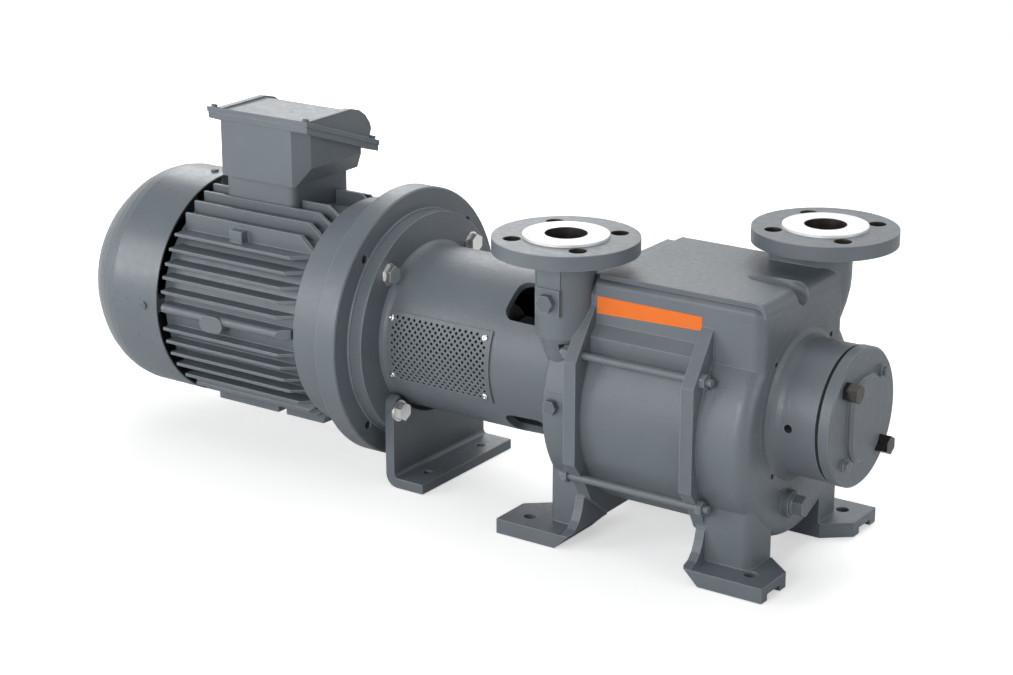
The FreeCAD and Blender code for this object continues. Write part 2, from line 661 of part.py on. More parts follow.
def bearing(prefix, start, wide, outer, inner, ball_count):
    """Outer ring, inner ring and caged balls of one deep groove ball bearing."""
    pitch = (outer + inner) / 2
    ball = pitch * 0.2075
    third = (outer - inner) * 0.29
    mid = start + wide / 2
    groove = ball * 0.84
    outer_ring = turned(prefix + "_outer_ring", [
        (start, outer - third), (start, outer), (start + wide, outer),
        (start + wide, outer - third), (mid + groove, outer - third),
        (mid + groove, pitch + ball + 0.1), (mid - groove, pitch + ball + 0.1),
        (mid - groove, outer - third)], shaft_height)
    inner_ring = turned(prefix + "_inner_ring", [
        (start, inner + 0.03), (start, inner + third), (mid - groove, inner + third),
        (mid - groove, pitch - ball - 0.1), (mid + groove, pitch - ball - 0.1),
        (mid + groove, inner + third), (start + wide, inner + third),
        (start + wide, inner + 0.03)], shaft_height)
    parts = [turned(prefix + "_cage", [
        (mid - 1.5, pitch - 1.2), (mid - 1.5, pitch + 1.2),
        (mid + 1.5, pitch + 1.2), (mid + 1.5, pitch - 1.2)], shaft_height)]
    for i in range(ball_count):
        turn = 360.0 * i / ball_count
        item = doc.addObject("Part::Sphere", "%s_ball_%d" % (prefix, i))
        drive(item, "Radius", ball)
        parts.append(place(item, mid, pitch * cosine(turn), shaft_height + pitch * sine(turn),
                           V(1, 0, 0), turn - 90))
    return outer_ring, inner_ring, fuse(prefix + "_balls", parts)


# Pump shaft: one turned bar from the coupling through both bearings.
coupling_end = size("coupling_end", 249.0, "coupling end of the pump shaft before the middle")
shaft_tail = size("shaft_tail", 179.0, "far end of the pump shaft behind the middle")
stub_radius = size("stub_radius", 14.0, "shaft radius in the coupling")
node("pump_shaft", turned("pump_shaft", [
    (-coupling_end, 0.0), (-coupling_end, stub_radius), (-coupling_end + 46, stub_radius),
    (-coupling_end + 46, shaft_bearing_seat), (-bearing_x + bearing_wide, shaft_bearing_seat),
    (-bearing_x + bearing_wide, shaft_radius), (far_end + 31.5, shaft_radius),
    (far_end + 31.5, shaft_bearing_seat),
    (shaft_tail, shaft_bearing_seat), (shaft_tail, 0.0)], shaft_height))

# Bearings of the pump: deep groove ball bearings in the drive end hub and in the
# bolted housing at the far end.
far_bearing = far_end + 32
rings = bearing("drive_bearing", -bearing_x, bearing_wide, bearing_outer - 0.02,
                shaft_bearing_seat, 9)
node("drive_bearing_outer_ring", rings[0])
node("drive_bearing_inner_ring", rings[1])
node("drive_bearing_balls", rings[2])
rings = bearing("far_bearing", far_bearing, bearing_wide, bearing_outer - 0.02,
                shaft_bearing_seat, 9)
node("far_bearing_outer_ring", rings[0])
node("far_bearing_inner_ring", rings[1])
node("far_bearing_balls", rings[2])

# Retainer: a flat ring that closes the drive end hub over its bearing.
node("bearing_retainer", turned("bearing_retainer", [
    (-bearing_x - 5, shaft_bearing_seat + 4), (-bearing_x - 5, hub_radius),
    (-bearing_x, hub_radius), (-bearing_x, shaft_bearing_seat + 4)], shaft_height))

# Mechanical seals: a carbon face that turns with the shaft against a fixed seat, one
# pair beside each port plate.
seal_wide = size("seal_wide", 12.0, "rotating seal length")
pairs = []
seats = []
for tag, side in (("drive", -1), ("far", 1)):
    face = stage_half + 14
    near, off = (face - seal_wide, face) if side > 0 else (-face, -face + seal_wide)
    pairs.append(turned(tag + "_seal_face", [
        (near, shaft_radius + 0.05), (near, seal_bore - 3), (off, seal_bore - 3),
        (off, shaft_radius + 0.05)], shaft_height))
    near, off = (face + 0.1, face + 9) if side > 0 else (-face - 9, -face - 0.1)
    seats.append(turned(tag + "_seal_seat", [
        (near, shaft_radius + 1.0), (near, seal_bore - 0.05), (off, seal_bore - 0.05),
        (off, shaft_radius + 1.0)], shaft_height))
node("seal_faces", together("seal_faces", pairs))
node("seal_seats", together("seal_seats", seats))

# Key: a flat bar between the shaft and the impeller.
node("impeller_key", box("impeller_key", 80.0, 10.0, 3.2, -40.0, -5.0,
                         shaft_height + shaft_radius + 0.1))

# Bearing housing: a turned casting that sits in the round socket of the far casing.
housing_radius = size("housing_radius", 70.0, "bearing housing radius")
housing_long = size("housing_long", 50.0, "bearing housing length from the casing face")
housing_end = far_end + housing_long
housing = turned("housing", [
    (far_end - 10, 30.0), (far_end - 10, housing_seat), (far_end, housing_seat),
    (far_end, housing_radius + 8), (far_end + 3, housing_radius + 3.5),
    (far_end + 8, housing_radius + 0.8), (far_end + 13, housing_radius),
    (housing_end, housing_radius), (housing_end, bearing_outer),
    (far_bearing, bearing_outer), (far_bearing, shaft_bearing_seat + 6),
    (far_bearing - 6, shaft_bearing_seat + 6), (far_bearing - 6, 30.0)], shaft_height)
holes = [radial("housing_vent_near", 4.5, 25.0, 60.0, far_end + 21, 180.0),
         radial("housing_vent_off", 4.5, 25.0, 60.0, far_end + 21, 0.0)]
for i, angle in enumerate((45.0, 135.0, 225.0, 315.0)):
    holes.append(cylinder("housing_screw_%d" % i, 3.0, 6.0, far_end - 5,
                          (housing_seat - 4.5) * cosine(angle),
                          shaft_height + (housing_seat - 4.5) * sine(angle)))
node("bearing_housing", cut("bearing_housing", housing, holes))

# Bearing cover: a cast lid with a raised oblong pad, two stubs and two long hex screws.
cover_radius = size("cover_radius", 71.0, "bearing cover radius")
cover_thick = size("cover_thick", 12.3, "bearing cover thickness")
cover_groove = size("cover_groove", 4.0, "groove between housing and cover")
cover_circle = size("cover_circle", 54.0, "cover screw circle radius")
cover_face = housing_end + cover_groove + cover_thick
lid = turned("cover_disc", [
    (housing_end - 0.9, 25.0), (housing_end - 0.9, bearing_outer - 0.2),
    (housing_end, bearing_outer - 0.2), (housing_end, cover_radius - 7),
    (housing_end + cover_groove, cover_radius - 7), (housing_end + cover_groove, cover_radius),
    (cover_face - 2, cover_radius), (cover_face, cover_radius - 2), (cover_face, 0.0),
    (cover_face - 7, 0.0), (cover_face - 7, 25.0)], shaft_height)
pad_body = new_body("cover_pad", shaft_height)
pad_sketch = new_sketch(pad_body, "cover_pad_outline", "YZ_Plane", cover_face - 1)
outline(pad_sketch, [(-33.0, -44.0), (33.0, -44.0), (33.0, 44.0), (-33.0, 44.0)])
pad_solid = padded(pad_body, "cover_pad_solid", pad_sketch, 7.0)
pad_round = body_fillet(pad_body, "cover_pad_round", pad_solid, 27.0, lambda e: along(e, V(1, 0, 0)))
body_fillet(pad_body, "cover_pad_edge", pad_round, 3.0,
            lambda e: e.BoundBox.XMin > num(cover_face) + 5.9, "PartDesign::Chamfer")
lid_solids = [lid, pad_body]
screw_tools = []
for i, angle in enumerate((45.0, 135.0, 225.0, 315.0)):
    y = cover_circle * cosine(angle)
    z = shaft_height + cover_circle * sine(angle)
    if i % 2 == 0:
        lid_solids.append(cylinder("cover_stub_%d" % i, 6.5, 3.5, cover_face - 1, y, z))
        lid_solids.append(hexagon("cover_stub_tip_%d" % i, 10.0, 8.0, cover_face - 1, y, z))
    else:
        screw_tools.append((i, y, z))
cover_solid = fuse("cover_solid", lid_solids)
node("bearing_cover", cut("bearing_cover", cover_solid, [
    cylinder("cover_screw_hole_%d" % i, 5.2, cover_thick + 12, housing_end + 2, y, z)
    for i, y, z in screw_tools]))
screws = []
for i, y, z in screw_tools:
    head = hexagon("cover_screw_head_%d" % i, 17.0, 14.5, cover_face + 0.1, y, z)
    shank = cylinder("cover_screw_shank_%d" % i, 5.0, cover_thick + 2,
                     cover_face - cover_thick, y, z)
    screws.append(fuse("cover_screw_%d" % i, [head, shank]))
node("cover_screws", together("cover_screws", screws))

# Drain plug: a hex plug screwed into the boss low on the far casing.
plug_head = hexagon("plug_head", 19.0, 12.0, far_end + 9.5, drain_y, ring_axis - 77)
plug_ring = cylinder("plug_ring", 11.5, 1.5, far_end + 8, drain_y, ring_axis - 77)
plug_stem = cylinder("plug_stem", 5.9, 16.0, far_end - 6, drain_y, ring_axis - 77)
node("drain_plug", fuse("drain_plug", [plug_head, plug_ring, plug_stem]))

# Tie rods and nuts: four steel rods pull both casings onto the ring stage.
rod_end = stage_half + clamp_thick + 12
rods = []
nuts = []
for a in (-1, 1):
    for b in (-1, 1):
        y = rod_y * a
        z = ring_axis + rod_z * b
        tag = "%s_%s" % ("near" if a < 0 else "off", "low" if b < 0 else "high")
        rods.append(cylinder("rod_" + tag, rod_size / 2, rod_end * 2, -rod_end, y, z))
        for end, x in (("drive", -rod_end + 4), ("far", stage_half + clamp_thick)):
            nut = hexagon("nut_%s_%s_hex" % (end, tag), rod_size * 1.7, rod_size * 0.8, x, y, z)
            eye = cylinder("nut_%s_%s_eye" % (end, tag), rod_size / 2 + 0.05, 12.0, x - 1, y, z)
            nuts.append(cut("nut_%s_%s" % (end, tag), nut, eye))
node("tie_rods", together("tie_rods", rods))
node("tie_rod_nuts", together("tie_rod_nuts", nuts))

# Hex plugs of the drive end casing: one in the gauge boss of the suction neck and one
# in the near side of the drum.
side_screws = [hexagon("gauge_plug", 17.0, 7.0, -suction_x, -boss_out, boss_z + boss_wide / 2,
                       TO_NEG_Y),
               hexagon("drum_plug", 14.0, 7.0, -suction_x + 4, -case_radius, shaft_height - 12,
                       TO_NEG_Y)]
node("casing_side_screws", together("casing_side_screws", side_screws))

# Lantern: a cast barrel that joins the motor flange to the drive end casing, with a
# window at each corner and an opening on each side for reaching the coupling.
motor_face = size("motor_face", 345.0, "motor flange face before the pump middle")
lantern_flange = size("lantern_flange", 125.5, "lantern flange radius")
lantern_thick = size("lantern_thick", 15.0, "lantern flange thickness")
barrel_wall = size("barrel_wall", 8.0, "lantern barrel wall")
motor_spigot = size("motor_spigot", 90.0, "motor flange spigot radius")
lantern_face = -motor_face + lantern_thick
lantern_circle = size("lantern_circle", 107.5, "lantern bolt circle radius")
tube = turned("lantern_tube", [
    (-motor_face, motor_spigot + 0.1), (-motor_face, lantern_flange), (lantern_face, lantern_flange),
    (lantern_face, barrel + 4), (lantern_face + 3, barrel + 1.2), (lantern_face + 8, barrel),
    (case_x - 76, barrel), (case_x, barrel - 2.5),
    (case_x, barrel - barrel_wall), (-motor_face + 5, barrel - barrel_wall),
    (-motor_face + 5, motor_spigot + 0.1)], shaft_height)


def window(name, x, length, width, angle, corner):
    """A cutter with rounded corners that points away from the shaft axis."""
    body = new_body(name)
    sketch = new_sketch(body, name + "_outline", "XY_Plane", barrel - 30)
    outline(sketch, [(x, -width / 2), (x + length, -width / 2), (x + length, width / 2),
                     (x, width / 2)])
    solid = padded(body, name + "_pad", sketch, 60.0)
    body_fillet(body, name + "_round", solid, corner, lambda e: along(e, V(0, 0, 1)))
    place(body, 0, 0, shaft_height, V(1, 0, 0), angle - 90)
    return body


window_long = size("window_long", 52.0, "corner window length")
window_wide = size("window_wide", 50.0, "corner window width")
tools = []
for i, angle in enumerate((52.0, 128.0, 232.0, 308.0)):
    tools.append(window("corner_window_%d" % i, case_x - 77, window_long, window_wide, angle, 12.0))
for i, angle in enumerate((0.0, 180.0)):
    tools.append(window("side_opening_%d" % i, lantern_face + 22, 98.0, 56.0, angle, 8.0))
for i, angle in enumerate((45.0, 135.0, 225.0, 315.0)):
    tools.append(cylinder("lantern_bolt_hole_%d" % i, 6.6, lantern_thick + 2, -motor_face - 1,
                          lantern_circle * cosine(angle),
                          shaft_height + lantern_circle * sine(angle)))
guard_x = lantern_face + 12
guard_long = size("guard_long", 129.0, "guard plate length")
guard_half = size("guard_half", 40.0, "half height of a guard plate")
guard_thick = size("guard_thick", 1.5, "guard plate thickness")
screw_angle = 21.0
guard_first = size("guard_first", 7.0, "first guard screws behind the plate's motor end")
guard_last = size("guard_last", 9.0, "last guard screws before the plate's pump end")
guard_places = [(x, turn) for x in (guard_x + guard_first, guard_x + guard_long - guard_last)
                for turn in (-screw_angle, screw_angle)]
guard_screws = []
for side, angle in enumerate((0.0, 180.0)):
    for i, (x, turn) in enumerate(guard_places):
        tag = "%d_%d" % (side, i)
        tools.append(radial("guard_tap_" + tag, 2.1, barrel - 10, 20.0, x, angle + turn))
        head = radial("guard_head_" + tag, 4.8, barrel + guard_thick + 0.4, 2.6, x, angle + turn)
        stem = radial("guard_stem_" + tag, 2.0, barrel - 6, 9.0, x, angle + turn)
        guard_screws.append(fuse("guard_screw_" + tag, [head, stem]))
node("lantern", cut("lantern", tube, tools))
node("guard_screws", together("guard_screws", guard_screws))

# Guard plates: curved sheet over the side openings.
for name, y in (("near_guard_plate", -120.0), ("off_guard_plate", 0.0)):
    outer = cylinder(name + "_outer", barrel + guard_thick + 0.3, guard_long, guard_x, 0, shaft_height)
    inner = cylinder(name + "_inner", barrel + 0.3, guard_long + 2, guard_x - 1, 0, shaft_height)
    sheet_tube = cut(name + "_tube", outer, inner)
    limit = box(name + "_limit", guard_long, 120.0, guard_half * 2, guard_x, y,
                shaft_height - guard_half)
    taps = [radial("%s_hole_%d" % (name, i), 2.2, barrel - 10, 20.0, x,
                   (180.0 if y < 0 else 0.0) + turn)
            for i, (x, turn) in enumerate(guard_places)]
    node(name, cut(name, common(name + "_sheet", sheet_tube, limit), taps))

# Support bracket: bent plate bolted under the lantern flange, with a foot on the floor.
bracket_thick = size("bracket_thick", 11.0, "bracket plate thickness")
bracket_half = size("bracket_half", 85.0, "half width of the bracket")
bracket_reach = size("bracket_reach", 49.0, "bracket foot length from the lantern flange")
bracket_pitch = size("bracket_pitch", 100.0, "bracket foot holes apart")
bracket_hole = size("bracket_hole", 10.0, "bracket foot hole diameter")
bracket_body = new_body("bracket_body")
bracket_sketch = new_sketch(bracket_body, "bracket_outline", "XZ_Plane")
ear_top = shaft_height - lantern_circle * sine(45) + 17
outline(bracket_sketch, [
    (lantern_face, 0.0), (lantern_face + bracket_reach, 0.0),
    (lantern_face + bracket_reach, bracket_thick), (lantern_face + bracket_thick, bracket_thick),
    (lantern_face + bracket_thick, ear_top), (lantern_face, ear_top)])
bracket_pad = padded(bracket_body, "bracket_pad", bracket_sketch, bracket_half * 2, middle=True)
bend = body_fillet(bracket_body, "bracket_bend", bracket_pad, 15.0,
                   lambda e: along(e, V(0, 1, 0)) and middle_of(e).z < 0.1
                   and middle_of(e).x < num(lantern_face) + 0.1)
bend = body_fillet(bracket_body, "bracket_inner_bend", bend, 5.0,
                   lambda e: along(e, V(0, 1, 0)) and abs(middle_of(e).z - num(bracket_thick)) < 0.1
                   and abs(middle_of(e).x - num(lantern_face + bracket_thick)) < 0.1)
bend = body_fillet(bracket_body, "bracket_ears", bend, 14.0,
                   lambda e: along(e, V(1, 0, 0)) and middle_of(e).z > num(ear_top) - 0.1)
tools = [cylinder("bracket_notch", barrel + 5, bracket_thick + 4, lantern_face - 2, 0, shaft_height)]
for turn in (-1, 1):
    tools.append(cylinder("bracket_bolt_hole_%d" % (turn + 1), 6.6, bracket_thick + 2,
                          lantern_face - 1, lantern_circle * cosine(45) * turn,
                          shaft_height - lantern_circle * sine(45)))
    tools.append(cylinder("bracket_foot_hole_%d" % (turn + 1), bracket_hole / 2, bracket_thick + 2,
                          lantern_face + bracket_reach - 18, bracket_pitch / 2 * turn, -1, UP))
node("support_bracket", cut("support_bracket", bracket_body, tools))

# Lantern bolts: four hex bolts with washers; the lower two also hold the bracket.
bolts = []
for i, angle in enumerate((45.0, 135.0, 225.0, 315.0)):
    seat = lantern_face if angle < 180 else lantern_face + bracket_thick
    y = lantern_circle * cosine(angle)
    z = shaft_height + lantern_circle * sine(angle)
    head = hexagon("lantern_bolt_head_%d" % i, 18.0, 7.5, seat + 2.5, y, z)
    washer = cylinder("lantern_bolt_washer_%d" % i, 12.0, 2.5, seat, y, z)
    shank = cylinder("lantern_bolt_shank_%d" % i, 6.0, seat + motor_face + 10, -motor_face - 10, y, z)
    bolts.append(fuse("lantern_bolt_%d" % i, [head, washer, shank]))
node("lantern_bolts", together("lantern_bolts", bolts))

# Coupling: a jaw hub on each shaft with an elastomer star between them.
hub_outer = size("hub_outer", 40.0, "coupling hub radius")
motor_end = size("motor_end", 80.0, "motor shaft length beyond its flange")
motor_shaft_radius = size("motor_shaft_radius", 19.0, "motor shaft radius")
jaw_long = size("jaw_long", 14.0, "coupling jaw length")
jaw_gap = size("jaw_gap", 16.0, "space between the coupling hubs")
jaw_sweep = 34.0
motor_tip = -motor_face + motor_end
hub_face = motor_tip
jaw_face = hub_face + jaw_gap


def jaws(prefix, x, first):
    """Three jaws of one hub as sectors of a ring."""
    solids = []
    for i in range(3):
        start = first + 120.0 * i
        outer = cylinder("%s_jaw_%d_outer" % (prefix, i), hub_outer, jaw_long, x, 0,
                         shaft_height, TO_X, jaw_sweep)
        spin = FreeCAD.Rotation(V(1, 0, 0), start).multiply(FreeCAD.Rotation(V(0, 1, 0), 90))
        outer.Placement.Rotation = spin
        inner = cylinder("%s_jaw_%d_inner" % (prefix, i), 20.0, jaw_long + 2, x - 1, 0, shaft_height)
        solids.append(cut("%s_jaw_%d" % (prefix, i), outer, inner))
    return solids


hub = turned("motor_hub", [
    (hub_face - 48, motor_shaft_radius + 0.03), (hub_face - 48, hub_outer - 8),
    (hub_face - 20, hub_outer - 8), (hub_face - 20, hub_outer), (hub_face, hub_outer),
    (hub_face, motor_shaft_radius + 0.03)], shaft_height)
node("motor_coupling_hub", fuse("motor_coupling_hub", [hub] + jaws("motor", hub_face, 0.0)))
hub = turned("pump_hub", [
    (jaw_face, stub_radius + 0.03), (jaw_face, hub_outer), (jaw_face + 20, hub_outer),
    (jaw_face + 20, hub_outer - 10), (jaw_face + 44, hub_outer - 10),
    (jaw_face + 44, stub_radius + 0.03)], shaft_height)
node("pump_coupling_hub", fuse("pump_coupling_hub",
                               [hub] + jaws("pump", jaw_face - jaw_long, 60.0)))
star = turned("star_ring", [(hub_face + 0.5, 12.0), (hub_face + 0.5, hub_outer - 1),
                            (jaw_face - 0.5, hub_outer - 1), (jaw_face - 0.5, 12.0)], shaft_height)
slots = []
for i in range(6):
    start = 60.0 * i
    outer = cylinder("star_slot_%d_outer" % i, hub_outer + 1, jaw_gap, hub_face, 0,
                     shaft_height, TO_X, jaw_sweep + 0.8)
    spin = FreeCAD.Rotation(V(1, 0, 0), start - 0.4).multiply(FreeCAD.Rotation(V(0, 1, 0), 90))
    outer.Placement.Rotation = spin
    inner = cylinder("star_slot_%d_inner" % i, 19.7, jaw_gap + 2, hub_face - 1, 0, shaft_height)
    slots.append(cut("star_slot_%d" % i, outer, inner))
node("coupling_star", cut("coupling_star", star, slots))

# Motor flange shield: cast end shield with the large flange, the spigot that centres
# the lantern and the seat of the front bearing.
flange_radius = size("flange_radius", 150.0, "motor flange radius")
flange_thick = size("flange_thick", 27.0, "motor flange thickness")
flange_circle = size("flange_circle", 132.5, "motor flange hole circle radius")
motor_bearing = size("motor_bearing", 40.0, "motor bearing outer radius")
motor_bearing_wide = size("motor_bearing_wide", 18.0, "motor bearing width")
motor_seat = size("motor_seat", 20.0, "motor shaft radius at the bearings")
fin_radius = size("fin_radius", 128.0, "outline radius over the fins")
frame_radius = size("frame_radius", 112.0, "motor frame tube outer radius")
frame_wall = size("frame_wall", 9.0, "motor frame tube wall")
shield_end = size("shield_end", 75.0, "front shield depth from the flange face")
frame_long = size("frame_long", 192.0, "motor frame length")
frame_front = -motor_face - shield_end
frame_rear = frame_front - frame_long
front_bearing = -motor_face - 31
shield = turned("front_shield", [
    (-motor_face + 4.8, motor_seat + 4), (-motor_face + 4.8, motor_spigot),
    (-motor_face, motor_spigot), (-motor_face, lantern_flange + 1.5),
    (-motor_face - 2, lantern_flange + 1.5), (-motor_face - 2, flange_radius - 1.5),
    (-motor_face - 3.5, flange_radius), (-motor_face - flange_thick, flange_radius),
    (-motor_face - flange_thick, flange_radius - 12), (-motor_face - flange_thick - 8, fin_radius + 6),
    (frame_front, fin_radius), (frame_front, frame_radius + 4),
    (front_bearing, frame_radius + 4), (-motor_face - 17, frame_radius - 8),
    (-motor_face - 17, motor_bearing + 9), (front_bearing - 2, motor_bearing + 9),
    (front_bearing - 2, motor_bearing), (front_bearing + motor_bearing_wide, motor_bearing),
    (front_bearing + motor_bearing_wide, motor_seat + 4)], shaft_height)
tools = []
for i, angle in enumerate((45.0, 135.0, 225.0, 315.0)):
    tools.append(cylinder("flange_hole_%d" % i, 5.0, flange_thick + 4, -motor_face - flange_thick - 2,
                          flange_circle * cosine(angle), shaft_height + flange_circle * sine(angle)))
    tools.append(cylinder("flange_tap_%d" % i, 6.05, 18.0, -motor_face - 11,
                          lantern_circle * cosine(angle),
                          shaft_height + lantern_circle * sine(angle)))
node("motor_flange_shield", cut("motor_flange_shield", shield, tools))

# Motor frame: cast tube with level cooling fins on both flanks, upright fins on top and
# a flat pad below; the front end of every fin is bevelled.
fin_thick = size("fin_thick", 3.5, "fin thickness at the tip")
solids = [cylinder("frame_tube", frame_radius, frame_long, frame_rear, 0, shaft_height)]
fin_x = frame_rear
fin_long = frame_long
for i, rise in enumerate((80.0, 65.3, 50.0, 35.5, 19.6, -24.0, -40.0, -56.0, -71.5, -88.5,
                          -104.0)):
    reach = root(fin_radius * fin_radius - rise * rise)
    solids.append(box("flank_fin_%d" % i, fin_long, reach * 2, fin_thick, fin_x, -reach,
                      shaft_height + rise - fin_thick / 2))
for i, out in enumerate((30.0, 46.3, 62.7, 78.3)):
    reach = root(fin_radius * fin_radius - out * out)
    for turn in (-1, 1):
        solids.append(box("top_fin_%d_%d" % (i, turn + 1), fin_long, fin_thick, reach - 60,
                          fin_x, out * turn - fin_thick / 2, shaft_height + 60))
rib_radius = size("rib_radius", 5.5, "half height of the round-nosed rib on each flank")
boss_long = size("boss_long", 32.0, "length of the oval boss on each flank")
boss_high = size("boss_high", 19.0, "height of the oval boss on each flank")
boss_x = frame_rear + 75
rib_long = fin_long - 12
solids.append(box("flank_rib", rib_long, (fin_radius - rib_radius) * 2, rib_radius * 2, fin_x,
                  rib_radius - fin_radius, shaft_height - rib_radius))
for turn in (-1, 1):
    solids.append(cylinder("flank_rib_nose_%d" % (turn + 1), rib_radius, rib_long, fin_x,
                           (fin_radius - rib_radius) * turn, shaft_height))
    boss_body = new_body("rib_boss_%d" % (turn + 1))
    boss = new_sketch(boss_body, "rib_boss_outline_%d" % (turn + 1), "XZ_Plane")
    boss_low = shaft_height - 4.5 - boss_high / 2
    outline(boss, [(boss_x - boss_long / 2, boss_low), (boss_x + boss_long / 2, boss_low),
                   (boss_x + boss_long / 2, boss_low + boss_high),
                   (boss_x - boss_long / 2, boss_low + boss_high)])
    boss_pad = padded(boss_body, "rib_boss_pad_%d" % (turn + 1), boss, fin_radius + 2, back=turn > 0)
    body_fillet(boss_body, "rib_boss_round_%d" % (turn + 1), boss_pad, 9.0,
                lambda e: along(e, V(0, 1, 0)))
    solids.append(boss_body)
for turn in (-1, 1):
    solids.append(box("eye_lug_%d" % (turn + 1), 17.0, 12.0, 15.0, frame_rear + 74,
                      79.0 * turn - (12 if turn < 0 else 0), shaft_height + 80))
solids.append(box("foot_pad", frame_long - 22, 92.0, 26.0, frame_rear + 10, -46.0,
                  shaft_height - fin_radius))
for i, out in enumerate((58.0, 72.0)):
    reach = root(fin_radius * fin_radius - out * out)
    for turn in (-1, 1):
        solids.append(box("base_fin_%d_%d" % (i, turn + 1), fin_long, fin_thick, reach - 88,
                          fin_x, out * turn - fin_thick / 2, shaft_height - reach))
bevel = turned("fin_bevel", [
    (frame_front + 1, frame_radius + 0.5), (frame_front + 1, fin_radius + 20),
    (frame_front - 32, fin_radius + 20), (frame_front - 26, fin_radius),
    (frame_front - 4, frame_radius + 0.5)], shaft_height)
bore = cylinder("frame_bore", frame_radius - frame_wall, frame_long + 2, frame_rear - 1, 0, shaft_height)
notch = box("pad_notch", 12.0, 94.0, 9.0, frame_rear + 98, -47.0, shaft_height - fin_radius - 1)
box_x = size("box_x", 587.0, "rear end of the terminal box before the pump middle")
seat_long = size("seat_long", 102.0, "terminal seat length along the frame")
seat_near = size("seat_near", 46.5, "terminal seat on the near side of the shaft plane")
seat_off = size("seat_off", 57.5, "terminal seat on the off side of the shaft plane")
seat = cut("terminal_seat", box("terminal_seat_block", seat_long, seat_near + seat_off, 60.0,
                                3 - box_x, -seat_near, shaft_height + 96),
           cylinder("terminal_seat_core", frame_radius, seat_long + 2, 2 - box_x, 0, shaft_height))
node("motor_frame", cut("motor_frame", fuse("motor_frame_solid", solids),
                        [bevel, bore, notch, seat]))

# Rear shield of the motor with the seat of the rear bearing and four lugs for the cowl.
cowl_radius = size("cowl_radius", 129.0, "fan cowl radius")
cowl_wall = size("cowl_wall", 2.0, "fan cowl wall")
lug_wide = size("lug_wide", 14.0, "cowl lug width")
lug_long = size("lug_long", 24.0, "cowl lug length along the shaft")
rear_bearing = frame_rear - motor_bearing_wide
lug_foot = frame_radius - 8
lug_turns = (0.0, 90.0, 180.0, 270.0)
cowl_screw_x = frame_rear - 25
rear_disc = turned("rear_disc", [
    (frame_rear, motor_bearing), (frame_rear, frame_radius), (frame_rear - 8, frame_radius),
    (frame_rear - 8, motor_bearing + 14), (frame_rear - 12, motor_bearing + 8),
    (rear_bearing - 3, motor_bearing + 8), (rear_bearing - 3, motor_seat + 3),
    (rear_bearing, motor_seat + 3), (rear_bearing, motor_bearing)], shaft_height)
lugs = []
for i, angle in enumerate(lug_turns):
    lugs.append(box("cowl_lug_%d" % i, lug_long, cowl_radius - cowl_wall - 0.6 - lug_foot, lug_wide,
                    frame_rear - 8 - lug_long,
                    lug_foot * cosine(angle) + lug_wide / 2 * sine(angle),
                    shaft_height + lug_foot * sine(angle) - lug_wide / 2 * cosine(angle),
                    V(1, 0, 0), angle))
taps = [radial("lug_tap_%d" % i, 2.05, cowl_radius - 14, 12.0, cowl_screw_x, angle)
        for i, angle in enumerate(lug_turns)]
node("motor_rear_shield", cut("motor_rear_shield", fuse("rear_solid", [rear_disc] + lugs), taps))

# Motor bearings.
rings = bearing("motor_front_bearing", front_bearing, motor_bearing_wide, motor_bearing - 0.02,
                motor_seat, 8)
node("motor_front_bearing_outer", rings[0])
node("motor_front_bearing_inner", rings[1])
node("motor_front_bearing_balls", rings[2])
rings = bearing("motor_rear_bearing", rear_bearing, motor_bearing_wide, motor_bearing - 0.02,
                motor_seat, 8)
node("motor_rear_bearing_outer", rings[0])
node("motor_rear_bearing_inner", rings[1])
node("motor_rear_bearing_balls", rings[2])

# Motor shaft, rotor pack, stator pack and windings.
fan_x = rear_bearing - 34
core_radius = size("core_radius", 62.0, "rotor pack radius")
core_long = size("core_long", 140.0, "rotor and stator pack length")
core_x = frame_rear + 26
node("motor_shaft", turned("motor_shaft", [
    (motor_tip, 0.0), (motor_tip, motor_shaft_radius), (front_bearing + motor_bearing_wide, motor_shaft_radius),
    (front_bearing + motor_bearing_wide, motor_seat), (front_bearing, motor_seat),
    (front_bearing, motor_seat + 2), (frame_rear, motor_seat + 2), (frame_rear, motor_seat),
    (rear_bearing - 6, motor_seat), (rear_bearing - 6, 15.0), (fan_x - 4, 15.0), (fan_x - 4, 0.0)],
    shaft_height))
node("rotor_core", turned("rotor_core", [
    (core_x, motor_seat + 2.02), (core_x, core_radius), (core_x + core_long, core_radius),
    (core_x + core_long, motor_seat + 2.02)], shaft_height))
node("stator_core", turned("stator_core", [
    (core_x, core_radius + 0.6), (core_x, frame_radius - frame_wall - 0.05),
    (core_x + core_long, frame_radius - frame_wall - 0.05), (core_x + core_long, core_radius + 0.6)],
    shaft_height))
ends = []
for tag, x in (("front", core_x + core_long), ("rear", core_x - 20)):
    ends.append(turned(tag + "_winding", [
        (x, core_radius + 6), (x, frame_radius - frame_wall - 8),
        (x + 20, frame_radius - frame_wall - 8), (x + 20, core_radius + 6)], shaft_height))
node("stator_windings", together("stator_windings", ends))

